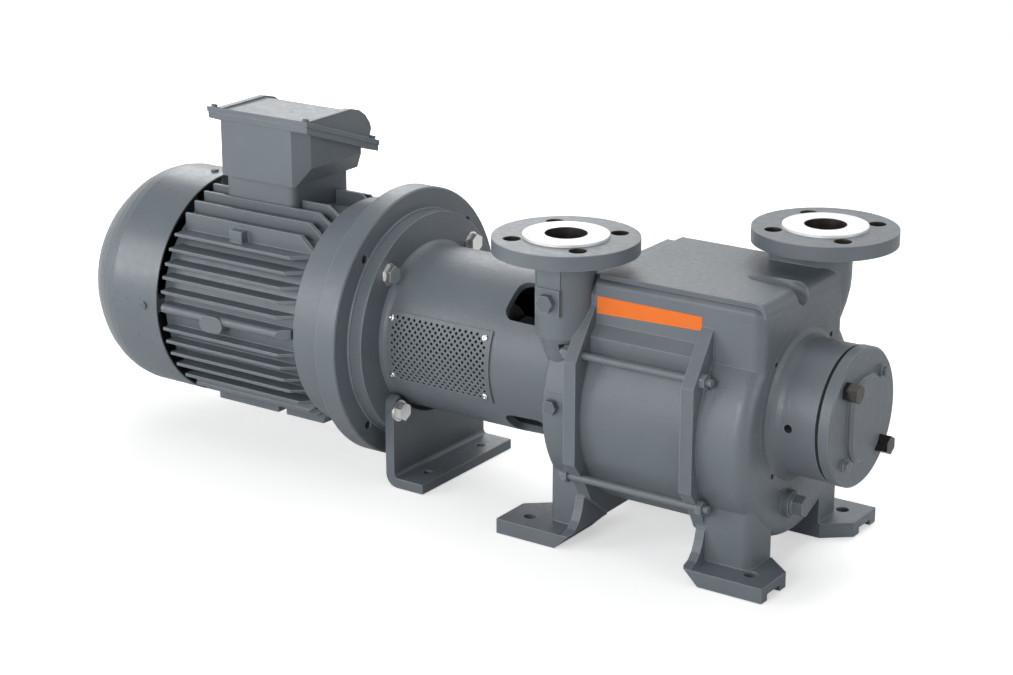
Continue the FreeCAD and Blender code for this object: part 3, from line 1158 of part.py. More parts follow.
# Fan: moulded hub, disc and straight blades on the tail of the motor shaft.
fan_radius = size("fan_radius", 102.0, "fan radius")
fan_body = new_body("fan", shaft_height)
fan_hub = new_sketch(fan_body, "fan_hub", "YZ_Plane", fan_x)
ring(fan_hub, 24.0)
hub_pad = padded(fan_body, "fan_hub_pad", fan_hub, 24.0)
fan_disc = new_sketch(fan_body, "fan_disc", "YZ_Plane", fan_x)
ring(fan_disc, 80.0)
disc_pad = padded(fan_body, "fan_disc_pad", fan_disc, 3.0)
blade = new_sketch(fan_body, "fan_blade", "YZ_Plane", fan_x)
outline(blade, [(-1.5, 18.0), (1.5, 18.0), (1.5, fan_radius), (-1.5, fan_radius)])
blade_pad = padded(fan_body, "fan_blade_pad", blade, 22.0)
blades = fan_body.newObject("PartDesign::PolarPattern", "fan_blades")
blades.Originals = [blade_pad]
blades.Axis = (blade, ["N_Axis"])
blades.Angle = 360
blades.Occurrences = 8
fan_body.Tip = blades
eye = new_sketch(fan_body, "fan_eye", "YZ_Plane", fan_x)
ring(eye, 15.03)
pocketed(fan_body, "fan_eye_pocket", eye, 60.0, middle=True)
node("motor_fan", fan_body)

# Fan cowl: drawn steel dome over the fan, open to the fins at its rim, with an inlet
# grille of ring slots in the flat of the dome.
cowl_rim = frame_rear - 6
cowl_end = cowl_rim - 139
dome = [(-66, 0.0), (-76, 1.7), (-86, 5.4), (-96, 10.9), (-105, 17.9), (-115, 26.5), (-125, 37.0),
        (-135, 50.0), (-138, 57.0)]
skin = [(cowl_rim, cowl_radius)]
skin += [(cowl_rim + x, cowl_radius - d) for x, d in dome]
skin += [(cowl_end, cowl_radius - 60), (cowl_end, 0.0), (cowl_end + cowl_wall, 0.0),
         (cowl_end + cowl_wall, cowl_radius - 61)]
skin += [(cowl_rim + x + (1.5 if d > 6 else 0.7), cowl_radius - d - (1.5 if d > 6 else 2.0))
         for x, d in reversed(dome)]
skin += [(cowl_rim, cowl_radius - cowl_wall)]
cowl_shell = turned("cowl_shell", skin, shaft_height)
tools = []
for i, inner in enumerate((20.0, 32.0, 44.0, 56.0)):
    outer_cut = cylinder("grille_outer_%d" % i, inner + 7, 10.0, cowl_end - 5, 0, shaft_height)
    inner_cut = cylinder("grille_inner_%d" % i, inner, 12.0, cowl_end - 6, 0, shaft_height)
    tools.append(cut("grille_ring_%d" % i, outer_cut, inner_cut))
spoke_a = box("grille_spoke_a", 14.0, 160.0, 7.0, cowl_end - 7, -80.0, shaft_height - 3.5)
spoke_b = box("grille_spoke_b", 14.0, 7.0, 160.0, cowl_end - 7, -3.5, shaft_height - 80)
slots = cut("grille_slots", fuse("grille_rings", tools), [spoke_a, spoke_b])
eyes = [radial("cowl_eye_%d" % i, 2.1, cowl_radius - 6, 10.0, cowl_screw_x, angle)
        for i, angle in enumerate(lug_turns)]
node("fan_cowl", cut("fan_cowl", cowl_shell, [slots] + eyes))

# Cowl screws through the rim of the cowl into the lugs of the rear shield.
screws = []
for i, angle in enumerate(lug_turns):
    head = radial("cowl_screw_head_%d" % i, 4.5, cowl_radius, 2.6, cowl_screw_x, angle)
    shank = radial("cowl_screw_shank_%d" % i, 2.0, cowl_radius - 12, 13.0, cowl_screw_x, angle)
    screws.append(fuse("cowl_screw_%d" % i, [head, shank]))
node("cowl_screws", together("cowl_screws", screws))

# Terminal box: cast box on a narrow neck; its opening slopes down to the rear.
box_long = size("box_long", 140.0, "terminal box rim length")
box_half = size("box_half", 58.0, "half width of the terminal box")
box_floor = size("box_floor", 146.0, "terminal box floor above the shaft axis")
rim_front = size("rim_front", 216.0, "rim front edge above the shaft axis")
rim_rear = size("rim_rear", 175.0, "rim rear edge above the shaft axis")
box_body = new_body("box_body")
box_sketch = new_sketch(box_body, "box_outline", "XY_Plane", shaft_height + box_floor)
rim_over = size("rim_over", 13.0, "rim of the terminal box beyond its ends")
left = -box_x + rim_over
right = -box_x + box_long - rim_over
outline(box_sketch, [
    (left, -box_half), (right - 14, -box_half), (right, 17 - box_half), (right, box_half - 10),
    (right - 16, box_half), (left, box_half)])
box_pad = padded(box_body, "box_pad", box_sketch, rim_front - box_floor + 4)
slope = (rim_front - rim_rear) / (box_half * 2)
slope_sketch = new_sketch(box_body, "box_slope", "YZ_Plane", -box_x - 5)
outline(slope_sketch, [
    (-box_half - 10, shaft_height + rim_front + slope * 10),
    (box_half + 10, shaft_height + rim_rear - slope * 10),
    (box_half + 10, shaft_height + rim_front + 40), (-box_half - 10, shaft_height + rim_front + 40)])
pocketed(box_body, "box_slope_cut", slope_sketch, box_long + 20, back=True)
neck_body = new_body("box_neck")
neck_sketch = new_sketch(neck_body, "box_neck_outline", "XY_Plane", shaft_height + 96)
neck_end = 1.5 - box_x + seat_long
outline(neck_sketch, [(4.5 - box_x, 1.5 - seat_near), (neck_end, 1.5 - seat_near),
                      (neck_end, seat_off - 1.5), (4.5 - box_x, seat_off - 1.5)])
neck_pad = padded(neck_body, "box_neck_pad", neck_sketch, box_floor - 94)
body_fillet(neck_body, "box_neck_round", neck_pad, 9.0, lambda e: along(e, V(0, 0, 1)))
rim_body = new_body("box_rim")
rim_sketch = new_sketch(rim_body, "box_rim_outline", "YZ_Plane", -box_x)
outline(rim_sketch, [
    (-box_half - 5, shaft_height + rim_front + slope * 5 - 7),
    (box_half + 5, shaft_height + rim_rear - slope * 5 - 7),
    (box_half + 5, shaft_height + rim_rear - slope * 5),
    (-box_half - 5, shaft_height + rim_front + slope * 5)])
padded(rim_body, "box_rim_pad", rim_sketch, box_long)
room_body = new_body("box_room")
room_sketch = new_sketch(room_body, "box_room_outline", "XY_Plane", shaft_height + box_floor + 6)
outline(room_sketch, [
    (left + 6, 6 - box_half), (right - 32, 6 - box_half), (right - 18, 24 - box_half),
    (right - 18, box_half - 13), (right - 26, box_half - 7), (left + 6, box_half - 7)])
padded(room_body, "box_room_pad", room_sketch, 120.0)
slant_body = new_body("box_slant")
slant = new_sketch(slant_body, "box_slant_outline", "XZ_Plane")
outline(slant, [(right + 0.5, shaft_height + rim_rear - 9), (right - 12, shaft_height + box_floor - 1),
                (right + 3, shaft_height + box_floor - 1), (right + 3, shaft_height + rim_rear - 9)])
padded(slant_body, "box_slant_pad", slant, box_half * 2 + 4, middle=True)
wire_way = cylinder("wire_way", 18.0, 90.0, left + 50, 0, shaft_height + 80, UP)
frame_clear = cylinder("frame_clear", frame_radius + 0.05, frame_long + 20, frame_rear - 5, 0, shaft_height)
box_sides = cut("box_sides", box_body, slant_body)
node("terminal_box", cut("terminal_box", fuse("box_solid", [box_sides, neck_body, rim_body]),
                         [room_body, wire_way, frame_clear]))

# Terminal box lid: a hood that is low at the front and high at the rear, with a sunken
# top between two cheeks and a rim that matches the box.
lid_body = new_body("lid_body")
lid_sketch = new_sketch(lid_body, "lid_outline", "YZ_Plane", -box_x + 5)
lid_top = shaft_height + rim_front
outline(lid_sketch, [
    (-box_half - 1, lid_top + slope), (box_half + 1, shaft_height + rim_rear - slope),
    (box_half + 1, lid_top - 29), (box_half - 3, lid_top - 16), (box_half - 11, lid_top - 5.5),
    (box_half - 22, lid_top + 2), (box_half - 38, lid_top + 6), (-box_half + 6, lid_top + 5.5),
    (-box_half - 1, lid_top + 4)])
padded(lid_body, "lid_pad", lid_sketch, box_long - 10)
lid_rim_body = new_body("lid_rim")
lid_rim = new_sketch(lid_rim_body, "lid_rim_outline", "YZ_Plane", -box_x - 1)
outline(lid_rim, [
    (-box_half - 6, shaft_height + rim_front + slope * 6),
    (box_half + 6, shaft_height + rim_rear - slope * 6),
    (box_half + 6, shaft_height + rim_rear - slope * 6 + 6),
    (-box_half - 6, shaft_height + rim_front + slope * 6 + 6)])
padded(lid_rim_body, "lid_rim_pad", lid_rim, box_long + 2)
sunk_body = new_body("lid_sunk")
sunk = new_sketch(sunk_body, "lid_sunk_outline", "YZ_Plane", -box_x + 13)
outline(sunk, [
    (-box_half - 3, lid_top + 7), (-box_half + 6, lid_top + 3.4), (box_half - 38, lid_top + 3.6),
    (box_half - 23, lid_top - 0.2), (box_half - 12.5, lid_top - 7.4), (box_half - 5.5, lid_top - 17),
    (box_half - 1.8, lid_top - 29), (box_half - 1.8, lid_top - 32), (box_half + 4, lid_top - 32),
    (box_half + 4, lid_top + 20), (-box_half - 3, lid_top + 20)])
padded(sunk_body, "lid_sunk_pad", sunk, box_long - 26)
turn_back = math.degrees(math.atan(num(slope)))
lid_screws = []
lid_cuts = [sunk_body]
for i, (x, y) in enumerate(((-box_x + 5, -box_half - 0.5), (-box_x + box_long - 5, -box_half - 0.5),
                            (-box_x + 5, box_half + 0.5), (-box_x + box_long - 5, box_half + 0.5))):
    z = shaft_height + rim_front - slope * (y + box_half) + 6.4
    item = cylinder("lid_screw_%d" % i, 3.6, 3.2, x, y, z, (V(1, 0, 0), -turn_back))
    lid_screws.append(item)
    lid_cuts.append(cylinder("lid_corner_%d" % i, 5.5, 40.0, x, y, z - 0.2, (V(1, 0, 0), -turn_back)))
node("terminal_box_lid", cut("terminal_box_lid", fuse("lid_solid", [lid_body, lid_rim_body]), lid_cuts))
node("lid_screws", together("lid_screws", lid_screws))

# Terminal block: a moulded block on the box floor with six brass studs.
block_z = shaft_height + box_floor + 6
node("terminal_block", box("terminal_block", 70.0, 40.0, 12.0, left + 20, 8.0, block_z))
studs = []
for i in range(3):
    for k in range(2):
        studs.append(cylinder("stud_%d_%d" % (i, k), 2.5, 12.0, left + 32 + 23.0 * i,
                              18.0 + 20.0 * k, block_z + 12, UP))
node("terminal_studs", together("terminal_studs", studs))

doc.recompute()
for item in doc.Objects:
    if "Invalid" in item.State or "Error" in item.State:
        raise RuntimeError("%s did not build: %s" % (item.Name, item.State))
os.makedirs("parts", exist_ok=True)
for name, item in NODES:
    if item.Shape.isNull() or not item.Shape.isValid() or not item.Shape.Solids:
        raise RuntimeError("%s has no valid solid" % name)
for name, item in NODES:
    item.Shape.exportStep("parts/%s.step" % name)
    print("%-34s solids %2d  volume %10.0f mm3" % (name, len(item.Shape.Solids), item.Shape.Volume))
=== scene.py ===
import bpy
import math
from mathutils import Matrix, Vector


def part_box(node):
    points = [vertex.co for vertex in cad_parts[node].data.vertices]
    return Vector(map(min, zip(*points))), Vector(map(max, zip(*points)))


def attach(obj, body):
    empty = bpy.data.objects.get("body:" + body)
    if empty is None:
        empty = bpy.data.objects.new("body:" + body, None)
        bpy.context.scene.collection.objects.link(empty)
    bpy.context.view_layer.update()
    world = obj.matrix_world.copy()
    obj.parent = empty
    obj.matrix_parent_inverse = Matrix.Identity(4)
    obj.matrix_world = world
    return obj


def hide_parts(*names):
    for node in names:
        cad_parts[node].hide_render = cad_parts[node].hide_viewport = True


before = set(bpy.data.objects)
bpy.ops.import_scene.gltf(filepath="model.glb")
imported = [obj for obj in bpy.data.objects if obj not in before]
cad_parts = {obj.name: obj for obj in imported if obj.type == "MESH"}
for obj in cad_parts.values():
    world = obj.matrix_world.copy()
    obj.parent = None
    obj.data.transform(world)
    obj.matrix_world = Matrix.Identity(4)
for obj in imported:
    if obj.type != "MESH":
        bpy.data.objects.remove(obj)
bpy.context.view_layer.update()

# Studio floor: a matt white floor that takes only the object's shadow. In the camera's
# eye it brightens into the white background away from the object.
scene = bpy.context.scene
scene.view_settings.view_transform = "Standard"


def new_finish(name):
    """A new node material, with its node tree and its main shader."""
    finish = bpy.data.materials.new(name)
    finish.use_nodes = True
    return finish, finish.node_tree, finish.node_tree.nodes["Principled BSDF"]


white_ground, ground_tree, ground_shader = new_finish("white_ground")
ground_shader.inputs["Base Color"].default_value = (0.93, 0.93, 0.93, 1)
ground_shader.inputs["Roughness"].default_value = 0.9
ground_shader.inputs["Specular IOR Level"].default_value = 0.0
fade_start, fade_end = 0.9, 2.2
near_glow, far_glow = 0.50, 1.0


def feed(tree, value, socket):
    """Gives a socket its value: another node's output, a plain number or a colour."""
    if isinstance(value, bpy.types.NodeSocket):
        tree.links.new(value, socket)
    else:
        socket.default_value = value


def combine(tree, operation, first, second):
    """Works out one value from two."""
    step = tree.nodes.new("ShaderNodeMath")
    step.operation = operation
    feed(tree, first, step.inputs[0])
    feed(tree, second, step.inputs[1])
    return step.outputs["Value"]


def compare_places(tree, operation, first, second=(0, 0, 0)):
    """Works on two places: a length or a share comes out as one value, a place as three."""
    step = tree.nodes.new("ShaderNodeVectorMath")
    step.operation = operation
    feed(tree, first, step.inputs[0])
    feed(tree, second, step.inputs[1])
    single = operation in ("LENGTH", "DISTANCE", "DOT_PRODUCT")
    return step.outputs["Value" if single else "Vector"]


def fade(tree, source, reach, result, smooth=False):
    """Turns a value that runs over reach into one that runs over result."""
    step = tree.nodes.new("ShaderNodeMapRange")
    if smooth:
        step.interpolation_type = "SMOOTHSTEP"
    feed(tree, source, step.inputs["Value"])
    for end, value in zip(("From Min", "From Max", "To Min", "To Max"), (*reach, *result)):
        feed(tree, value, step.inputs[end])
    return step.outputs["Result"]


ground_place = ground_tree.nodes.new("ShaderNodeTexCoord").outputs["Object"]
ground_reach = compare_places(ground_tree, "LENGTH", ground_place)
ground_fade = fade(ground_tree, ground_reach, reach=(fade_start, fade_end),
                   result=(near_glow, far_glow), smooth=True)
ground_seen = ground_tree.nodes.new("ShaderNodeLightPath").outputs["Is Camera Ray"]
ground_lift = combine(ground_tree, "MULTIPLY", ground_seen, ground_fade)
ground_glow = ground_tree.nodes.new("ShaderNodeEmission")
ground_sum = ground_tree.nodes.new("ShaderNodeAddShader")
ground_out = ground_tree.nodes["Material Output"]
feed(ground_tree, ground_lift, ground_glow.inputs["Strength"])
feed(ground_tree, ground_shader.outputs["BSDF"], ground_sum.inputs[0])
feed(ground_tree, ground_glow.outputs["Emission"], ground_sum.inputs[1])
feed(ground_tree, ground_sum.outputs["Shader"], ground_out.inputs["Surface"])


def built_piece(name, points, faces, finish):
    """A new object with a mesh of its own and one finish."""
    mesh = bpy.data.meshes.new(name)
    mesh.from_pydata(points, [], faces)
    mesh.update()
    mesh.materials.append(finish)
    piece = bpy.data.objects.new(name, mesh)
    scene.collection.objects.link(piece)
    return piece


floor_half = 2.6
floor_drop = 0.0006
floor = built_piece("studio_floor",
                    [(-floor_half, -floor_half, 0), (floor_half, -floor_half, 0),
                     (floor_half, floor_half, 0), (-floor_half, floor_half, 0)],
                    [(0, 1, 2, 3)], white_ground)
floor.location.z = -floor_drop

# White room: dim, even light from all round, and a white background. What the object
# mirrors is that white backdrop up to its top edge, and a dimmer ceiling above it.
backdrop_top, ceiling_start = 0.45, 0.85
ceiling_loss = 0.70
white_room = bpy.data.worlds.new("white_room")
scene.world = white_room
white_room.use_nodes = True
room = white_room.node_tree
room.nodes.clear()
room_light = room.nodes.new("ShaderNodeBackground")
room_light.inputs["Color"].default_value = (1, 1, 1, 1)
room_light.inputs["Strength"].default_value = 0.10
seen_white = room.nodes.new("ShaderNodeBackground")
seen_white.inputs["Color"].default_value = (1, 1, 1, 1)
light_path = room.nodes.new("ShaderNodeLightPath")
seen = light_path.outputs["Is Camera Ray"]
mirrored = light_path.outputs["Is Glossy Ray"]
room_place = room.nodes.new("ShaderNodeTexCoord")
room_height = room.nodes.new("ShaderNodeSeparateXYZ")
feed(room, room_place.outputs["Generated"], room_height.inputs["Vector"])
ceiling = fade(room, room_height.outputs["Z"], reach=(backdrop_top, ceiling_start),
               result=(0.0, ceiling_loss), smooth=True)
ceiling_mirrored = combine(room, "MULTIPLY", ceiling, mirrored)
backdrop = combine(room, "SUBTRACT", 1.0, ceiling_mirrored)
room_mix = room.nodes.new("ShaderNodeMixShader")
room_out = room.nodes.new("ShaderNodeOutputWorld")
feed(room, backdrop, seen_white.inputs["Strength"])
feed(room, combine(room, "MAXIMUM", seen, mirrored), room_mix.inputs["Fac"])
feed(room, room_light.outputs["Background"], room_mix.inputs[1])
feed(room, seen_white.outputs["Background"], room_mix.inputs[2])
feed(room, room_mix.outputs["Shader"], room_out.inputs["Surface"])

# Camera: the photograph's view, from the near non-drive corner and a little above the
# nozzle flanges.
view_target = Vector((-0.22886, 0, 0.16610))
view_distance = 2.50375
view_azimuth = math.radians(34.42)
view_elevation = math.radians(18.42)
back = Vector((math.sin(view_azimuth) * math.cos(view_elevation),
               -math.cos(view_azimuth) * math.cos(view_elevation), math.sin(view_elevation)))
camera_data = bpy.data.cameras.new("photo_camera")
camera_data.sensor_width = 36.0
camera_data.lens = 82.55
camera = bpy.data.objects.new("photo_camera", camera_data)
scene.collection.objects.link(camera)
camera.location = view_target + back * view_distance
camera.rotation_euler = (-back).to_track_quat("-Z", "Y").to_euler()
scene.camera = camera


# Lamps: six large softboxes, one overhead and the others round the object. The left and
# front ones model the near side, and the back ones brighten the upper edges.
def soft_box(name, place, toward, size, power):
    """A rectangular softbox lamp that faces a point."""
    lamp = bpy.data.lights.new(name, "AREA")
    lamp.shape = "RECTANGLE"
    lamp.size, lamp.size_y = size
    lamp.energy = power
    holder = bpy.data.objects.new(name, lamp)
    scene.collection.objects.link(holder)
    holder.location = place
    holder.rotation_euler = (Vector(toward) - Vector(place)).to_track_quat("-Z", "Y").to_euler()


soft_box("overhead_softbox", place=(-0.25, 0, 2.7), toward=(-0.25, 0, 0.2),
         size=(2.2, 2.2), power=12)
soft_box("front_softbox", place=(-0.05, -2.41, 0.95), toward=(-0.15, 0, 0.2),
         size=(1.1, 1.0), power=27)
soft_box("left_softbox", place=(-1.96, -1.71, 0.85), toward=(-0.25, 0, 0.2),
         size=(1.2, 1.2), power=20)
soft_box("right_softbox", place=(2.16, 0, 0.75), toward=(-0.25, 0, 0.2),
         size=(1.3, 1.1), power=10)
soft_box("back_left_softbox", place=(-1.78, 1.53, 1.45), toward=(-0.25, 0, 0.2),
         size=(1.3, 1.3), power=16)
soft_box("back_softbox", place=(-0.15, 1.45, 2.25), toward=(-0.15, 0, 0.2),
         size=(1.5, 1.3), power=24)

# Drive end casing: grey iron casting, shot-blasted and sprayed with one satin coat of
# blue-grey paint that keeps the grain of the sand mould. The sealing face of the
# suction flange is turned bright after painting. Its bore and bolt holes are coloured
# near black as painted shade.
paint_tone = (0.141, 0.164, 0.186)
# painted highlight: the lighter tone that the edges are coloured with
edge_highlight_tone = (0.35, 0.385, 0.42, 1)
turned_tone = (0.88, 0.88, 0.88, 1)
# painted shade: near black for the inside of the nozzle bores and bolt holes
hole_shade_tone = (0.040, 0.036, 0.034, 1)
turned_and_shade_metallic = 0.35
smoother, rougher = 0.07, 0.09
# nozzle flanges: heights above the floor, half the pitch of the bolt holes, and radii
flange_step = 0.3223
flange_back = 0.3000
bolt_offset = 0.0389
bore_edge = 0.0218
hole_edge = 0.0093


def noise(tree, place, scale, detail, roughness=0.5):
    """An even cloud of grain, scale grains to the metre."""
    cloud = tree.nodes.new("ShaderNodeTexNoise")
    cloud.inputs["Scale"].default_value = scale
    cloud.inputs["Detail"].default_value = detail
    cloud.inputs["Roughness"].default_value = roughness
    feed(tree, place, cloud.inputs["Vector"])
    return cloud.outputs["Fac"]


def rounded_edge(tree, radius, samples):
    """The surface's direction, with the edges rounded over."""
    round_over = tree.nodes.new("ShaderNodeBevel")
    round_over.samples = samples
    round_over.inputs["Radius"].default_value = radius
    return round_over.outputs["Normal"]


def relief(tree, height, strength, depth, under=None):
    """Lays a grain's height over the surface, or over the direction that lies under it."""
    bump = tree.nodes.new("ShaderNodeBump")
    bump.inputs["Strength"].default_value = strength
    bump.inputs["Distance"].default_value = depth
    feed(tree, height, bump.inputs["Height"])
    if under is not None:
        feed(tree, under, bump.inputs["Normal"])
    return bump.outputs["Normal"]


def shaded(tree, tone, share):
    """A tone made lighter or darker by a share."""
    step = tree.nodes.new("ShaderNodeVectorMath")
    step.operation = "SCALE"
    step.inputs[0].default_value = tone
    feed(tree, share, step.inputs["Scale"])
    return step.outputs["Vector"]


def two_tone(tree, share, first, second):
    """Mixes two colours by a share."""
    step = tree.nodes.new("ShaderNodeMix")
    step.data_type = "RGBA"
    feed(tree, share, step.inputs[0])
    feed(tree, first, step.inputs[6])
    feed(tree, second, step.inputs[7])
    return step.outputs[2]


def nozzle_cuts(tree, place, nozzle):
    """Where a nozzle flange is turned after painting, and its bore and bolt holes, where shade
    is painted in.
    """
    level = tree.nodes.new("ShaderNodeSeparateXYZ")
    feed(tree, place, level.inputs["Vector"])
    height = level.outputs["Z"]
    turned = combine(tree, "GREATER_THAN", height, flange_step)
    # the four bolt holes fold into one quarter of the flange
    from_axis = compare_places(tree, "SUBTRACT", place, (*nozzle, 0))
    folded = compare_places(tree, "ABSOLUTE", from_axis)
    flat = compare_places(tree, "MULTIPLY", folded, (1, 1, 0))
    off_axis = compare_places(tree, "LENGTH", flat)
    off_hole = compare_places(tree, "DISTANCE", flat, (bolt_offset, bolt_offset, 0))
    in_bore = combine(tree, "LESS_THAN", off_axis, bore_edge)
    in_hole = combine(tree, "LESS_THAN", off_hole, hole_edge)
    in_flange = combine(tree, "GREATER_THAN", height, flange_back)
    cut = combine(tree, "MAXIMUM", in_bore, in_hole)
    return turned, combine(tree, "MULTIPLY", cut, in_flange)


def cast_paint(name, tone=paint_tone, grain=1.0, rough=0.38, nozzle=None):
    """Satin paint on a casting: mould grain, painted highlights on the edges and an uneven
    sheen.
    """
    paint, tree, shader = new_finish(name)
    place = tree.nodes.new("ShaderNodeTexCoord").outputs["Object"]
    sand = noise(tree, place, scale=330.0, detail=5.0, roughness=0.62)
    peel = noise(tree, place, scale=150.0, detail=3.0)
    cloud = noise(tree, place, scale=14.0, detail=6.0)
    round_over = rounded_edge(tree, radius=0.0016, samples=6)
    peel_skin = relief(tree, peel, strength=0.22 * grain, depth=0.0007, under=round_over)
    sand_skin = relief(tree, sand, strength=0.85 * grain, depth=0.0005, under=peel_skin)
    # painted highlight: the edges are coloured lighter, as if they caught the light
    surface = tree.nodes.new("ShaderNodeNewGeometry").outputs["True Normal"]
    bend = compare_places(tree, "DOT_PRODUCT", round_over, surface)
    edge = fade(tree, bend, reach=(0.985, 0.86), result=(0.0, 0.75))
    coat = shaded(tree, tone, fade(tree, cloud, reach=(0.3, 0.7), result=(0.94, 1.05)))
    colour = two_tone(tree, edge, coat, edge_highlight_tone)
    if nozzle is not None:
        turned, drilled = nozzle_cuts(tree, place, nozzle)
        colour = two_tone(tree, turned, colour, turned_tone)
        # painted shade: the bore and bolt holes are coloured near black and made a little
        # metallic
        colour = two_tone(tree, drilled, colour, hole_shade_tone)
        turned_or_shaded = combine(tree, "MAXIMUM", turned, drilled)
        feed(tree, combine(tree, "MULTIPLY", turned_or_shaded, turned_and_shade_metallic), shader.inputs["Metallic"])
    gloss = fade(tree, peel, reach=(0.25, 0.75), result=(rough - smoother, rough + rougher))
    feed(tree, colour, shader.inputs["Base Color"])
    feed(tree, gloss, shader.inputs["Roughness"])
    feed(tree, sand_skin, shader.inputs["Normal"])
    return paint


def dress(node, finish):
    """Gives a carried-over piece its finish."""
    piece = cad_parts[node]
    piece.data.materials.clear()
    piece.data.materials.append(finish)


suction_axis = (-0.0965, -0.088)
dress("drive_end_casing", cast_paint("suction_casting", nozzle=suction_axis))

# Port plates: ductile iron discs, ground flat on both sides, one at each end of the
# ring. They are hidden once the pump is closed.
haze_spread = 0.06


def uncoated(name, tone, rough, metallic=1.0, shine=0.5):
    """An unpainted skin: a cloudy sheen, faint stains and fine marks."""
    skin, tree, shader = new_finish(name)
    shader.inputs["Metallic"].default_value = metallic
    shader.inputs["Specular IOR Level"].default_value = shine
    place = tree.nodes.new("ShaderNodeTexCoord").outputs["Object"]
    haze = noise(tree, place, scale=190.0, detail=5.0)
    stain = fade(tree, haze, reach=(0.0, 1.0), result=(0.84, 1.12))
    sheen = fade(tree, haze, reach=(0.0, 1.0), result=(rough - haze_spread, rough + haze_spread))
    round_over = rounded_edge(tree, radius=0.0005, samples=4)
    marks = relief(tree, haze, strength=0.10, depth=0.0002, under=round_over)
    feed(tree, shaded(tree, tone, stain), shader.inputs["Base Color"])
    feed(tree, sheen, shader.inputs["Roughness"])
    feed(tree, marks, shader.inputs["Normal"])
    return skin


ground_iron = uncoated("ground_iron", (0.30, 0.30, 0.31), rough=0.45)
dress("drive_end_port_plate", ground_iron)
dress("non_drive_end_port_plate", ground_iron)

# Impeller, shaft and key: a cast bronze star of curved vanes, keyed to a ground steel
# shaft. They turn inside the closed ring.
vane_bronze = uncoated("vane_bronze", (0.58, 0.40, 0.20), rough=0.42)
ground_steel = uncoated("ground_steel", (0.60, 0.60, 0.61), rough=0.28)
dress("impeller", vane_bronze)
dress("impeller_key", ground_steel)
dress("pump_shaft", ground_steel)

# Bearings, retainer and seals: hardened rings and balls, a pressed retainer, and carbon
# seal faces that run on lapped steel seats.
race_steel = uncoated("race_steel", (0.72, 0.73, 0.75), rough=0.18)
carbon = uncoated("carbon", (0.03, 0.03, 0.032), rough=0.55, metallic=0.0)
for node in ("drive_bearing_outer_ring", "drive_bearing_inner_ring", "drive_bearing_balls",
             "far_bearing_outer_ring", "far_bearing_inner_ring", "far_bearing_balls",
             "motor_front_bearing_outer", "motor_front_bearing_inner",
             "motor_front_bearing_balls", "motor_rear_bearing_outer",
             "motor_rear_bearing_inner", "motor_rear_bearing_balls", "seal_seats"):
    dress(node, race_steel)
dress("bearing_retainer", ground_steel)
dress("seal_faces", carbon)

# Ring stage: the cast ring between the casings, painted with them. Its outside stays as
# cast and shows the coarsest grain.
dress("ring_stage", cast_paint("ring_paint", grain=1.15))

# Non-drive end casing: one casting of drum, clamp flange, feet, discharge neck and the
# channel over the ring. Same paint, and a bright turned sealing face on the nozzle. Its
# bore and bolt holes carry painted shade.
discharge_axis = (0.1015, 0.088)
dress("non_drive_end_casing", cast_paint("discharge_casting", nozzle=discharge_axis))

# Colour strip: a bare band of orange foil on the flat of the channel, between the clamp
# flanges, pressed on after painting. It carries no words.
strip_film, film_tree, film_shader = new_finish("strip_film")
film_place = film_tree.nodes.new("ShaderNodeTexCoord").outputs["Object"]
film_ripple = noise(film_tree, film_place, scale=60.0, detail=4.0)
film_tone = two_tone(film_tree, film_ripple, (0.86, 0.165, 0.004, 1), (0.95, 0.195, 0.006, 1))
film_sheen = fade(film_tree, film_ripple, reach=(0.0, 1.0), result=(0.30, 0.42))
film_wave = relief(film_tree, film_ripple, strength=0.08, depth=0.0004)
feed(film_tree, film_tone, film_shader.inputs["Base Color"])
feed(film_tree, film_sheen, film_shader.inputs["Roughness"])
feed(film_tree, film_wave, film_shader.inputs["Normal"])

# the strip's back lies a little inside the channel's wall
wall_y = -0.088
strip_back = wall_y + 0.0001
strip_front = wall_y - 0.0003
strip_low_edge = ((-0.0588, 0.2480), (0.0610, 0.2515))
strip_high_edge = ((-0.0588, 0.2660), (0.0610, 0.2657))
strip_steps = 24
strip_points = []
for step in range(strip_steps + 1):
    share = step / strip_steps
    for start, end in (strip_low_edge, strip_high_edge):
        for y in (strip_back, strip_front):
            strip_points.append((start[0] + (end[0] - start[0]) * share, y,
                                 start[1] + (end[1] - start[1]) * share))
# each step has four points: low back, low front, high back, high front
strip_faces = []
for step in range(strip_steps):
    p = step * 4
    strip_faces += [(p + 1, p + 5, p + 7, p + 3), (p + 3, p + 7, p + 6, p + 2),
                    (p + 2, p + 6, p + 4, p), (p, p + 4, p + 5, p + 1)]
last = strip_steps * 4
strip_faces += [(0, 1, 3, 2), (last, last + 2, last + 3, last + 1)]
colour_strip = built_piece("colour_strip", strip_points, strip_faces, strip_film)
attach(colour_strip, "frame")

# Bearing housing and cover: turned castings bolted to the non-drive end casing, painted
# after assembly, with a smoother skin than the drums.
turned_paint = cast_paint("turned_paint", grain=0.75, rough=0.40)
dress("bearing_housing", turned_paint)
dress("bearing_cover", turned_paint)

# Cover screws: hex screws that hold the bearing cover, with a black oxide skin that
# still shines.
dress("cover_screws", uncoated("dark_oxide", (0.080, 0.074, 0.071), rough=0.22))

# Drain plug and side plugs: hex plugs screwed into the casings, and painted over with
# them.
plug_paint = cast_paint("plug_paint", tone=(0.120, 0.139, 0.157), grain=0.5)
dress("drain_plug", plug_paint)
dress("casing_side_screws", plug_paint)

# Tie rods and nuts: drawn steel rods that clamp the casings on the ring. They are
# painted with the pump, so they carry the same coat, but smooth.
rod_paint = cast_paint("rod_paint", tone=(0.160, 0.184, 0.206), grain=0.35, rough=0.36)
dress("tie_rods", rod_paint)
dress("tie_rod_nuts", rod_paint)

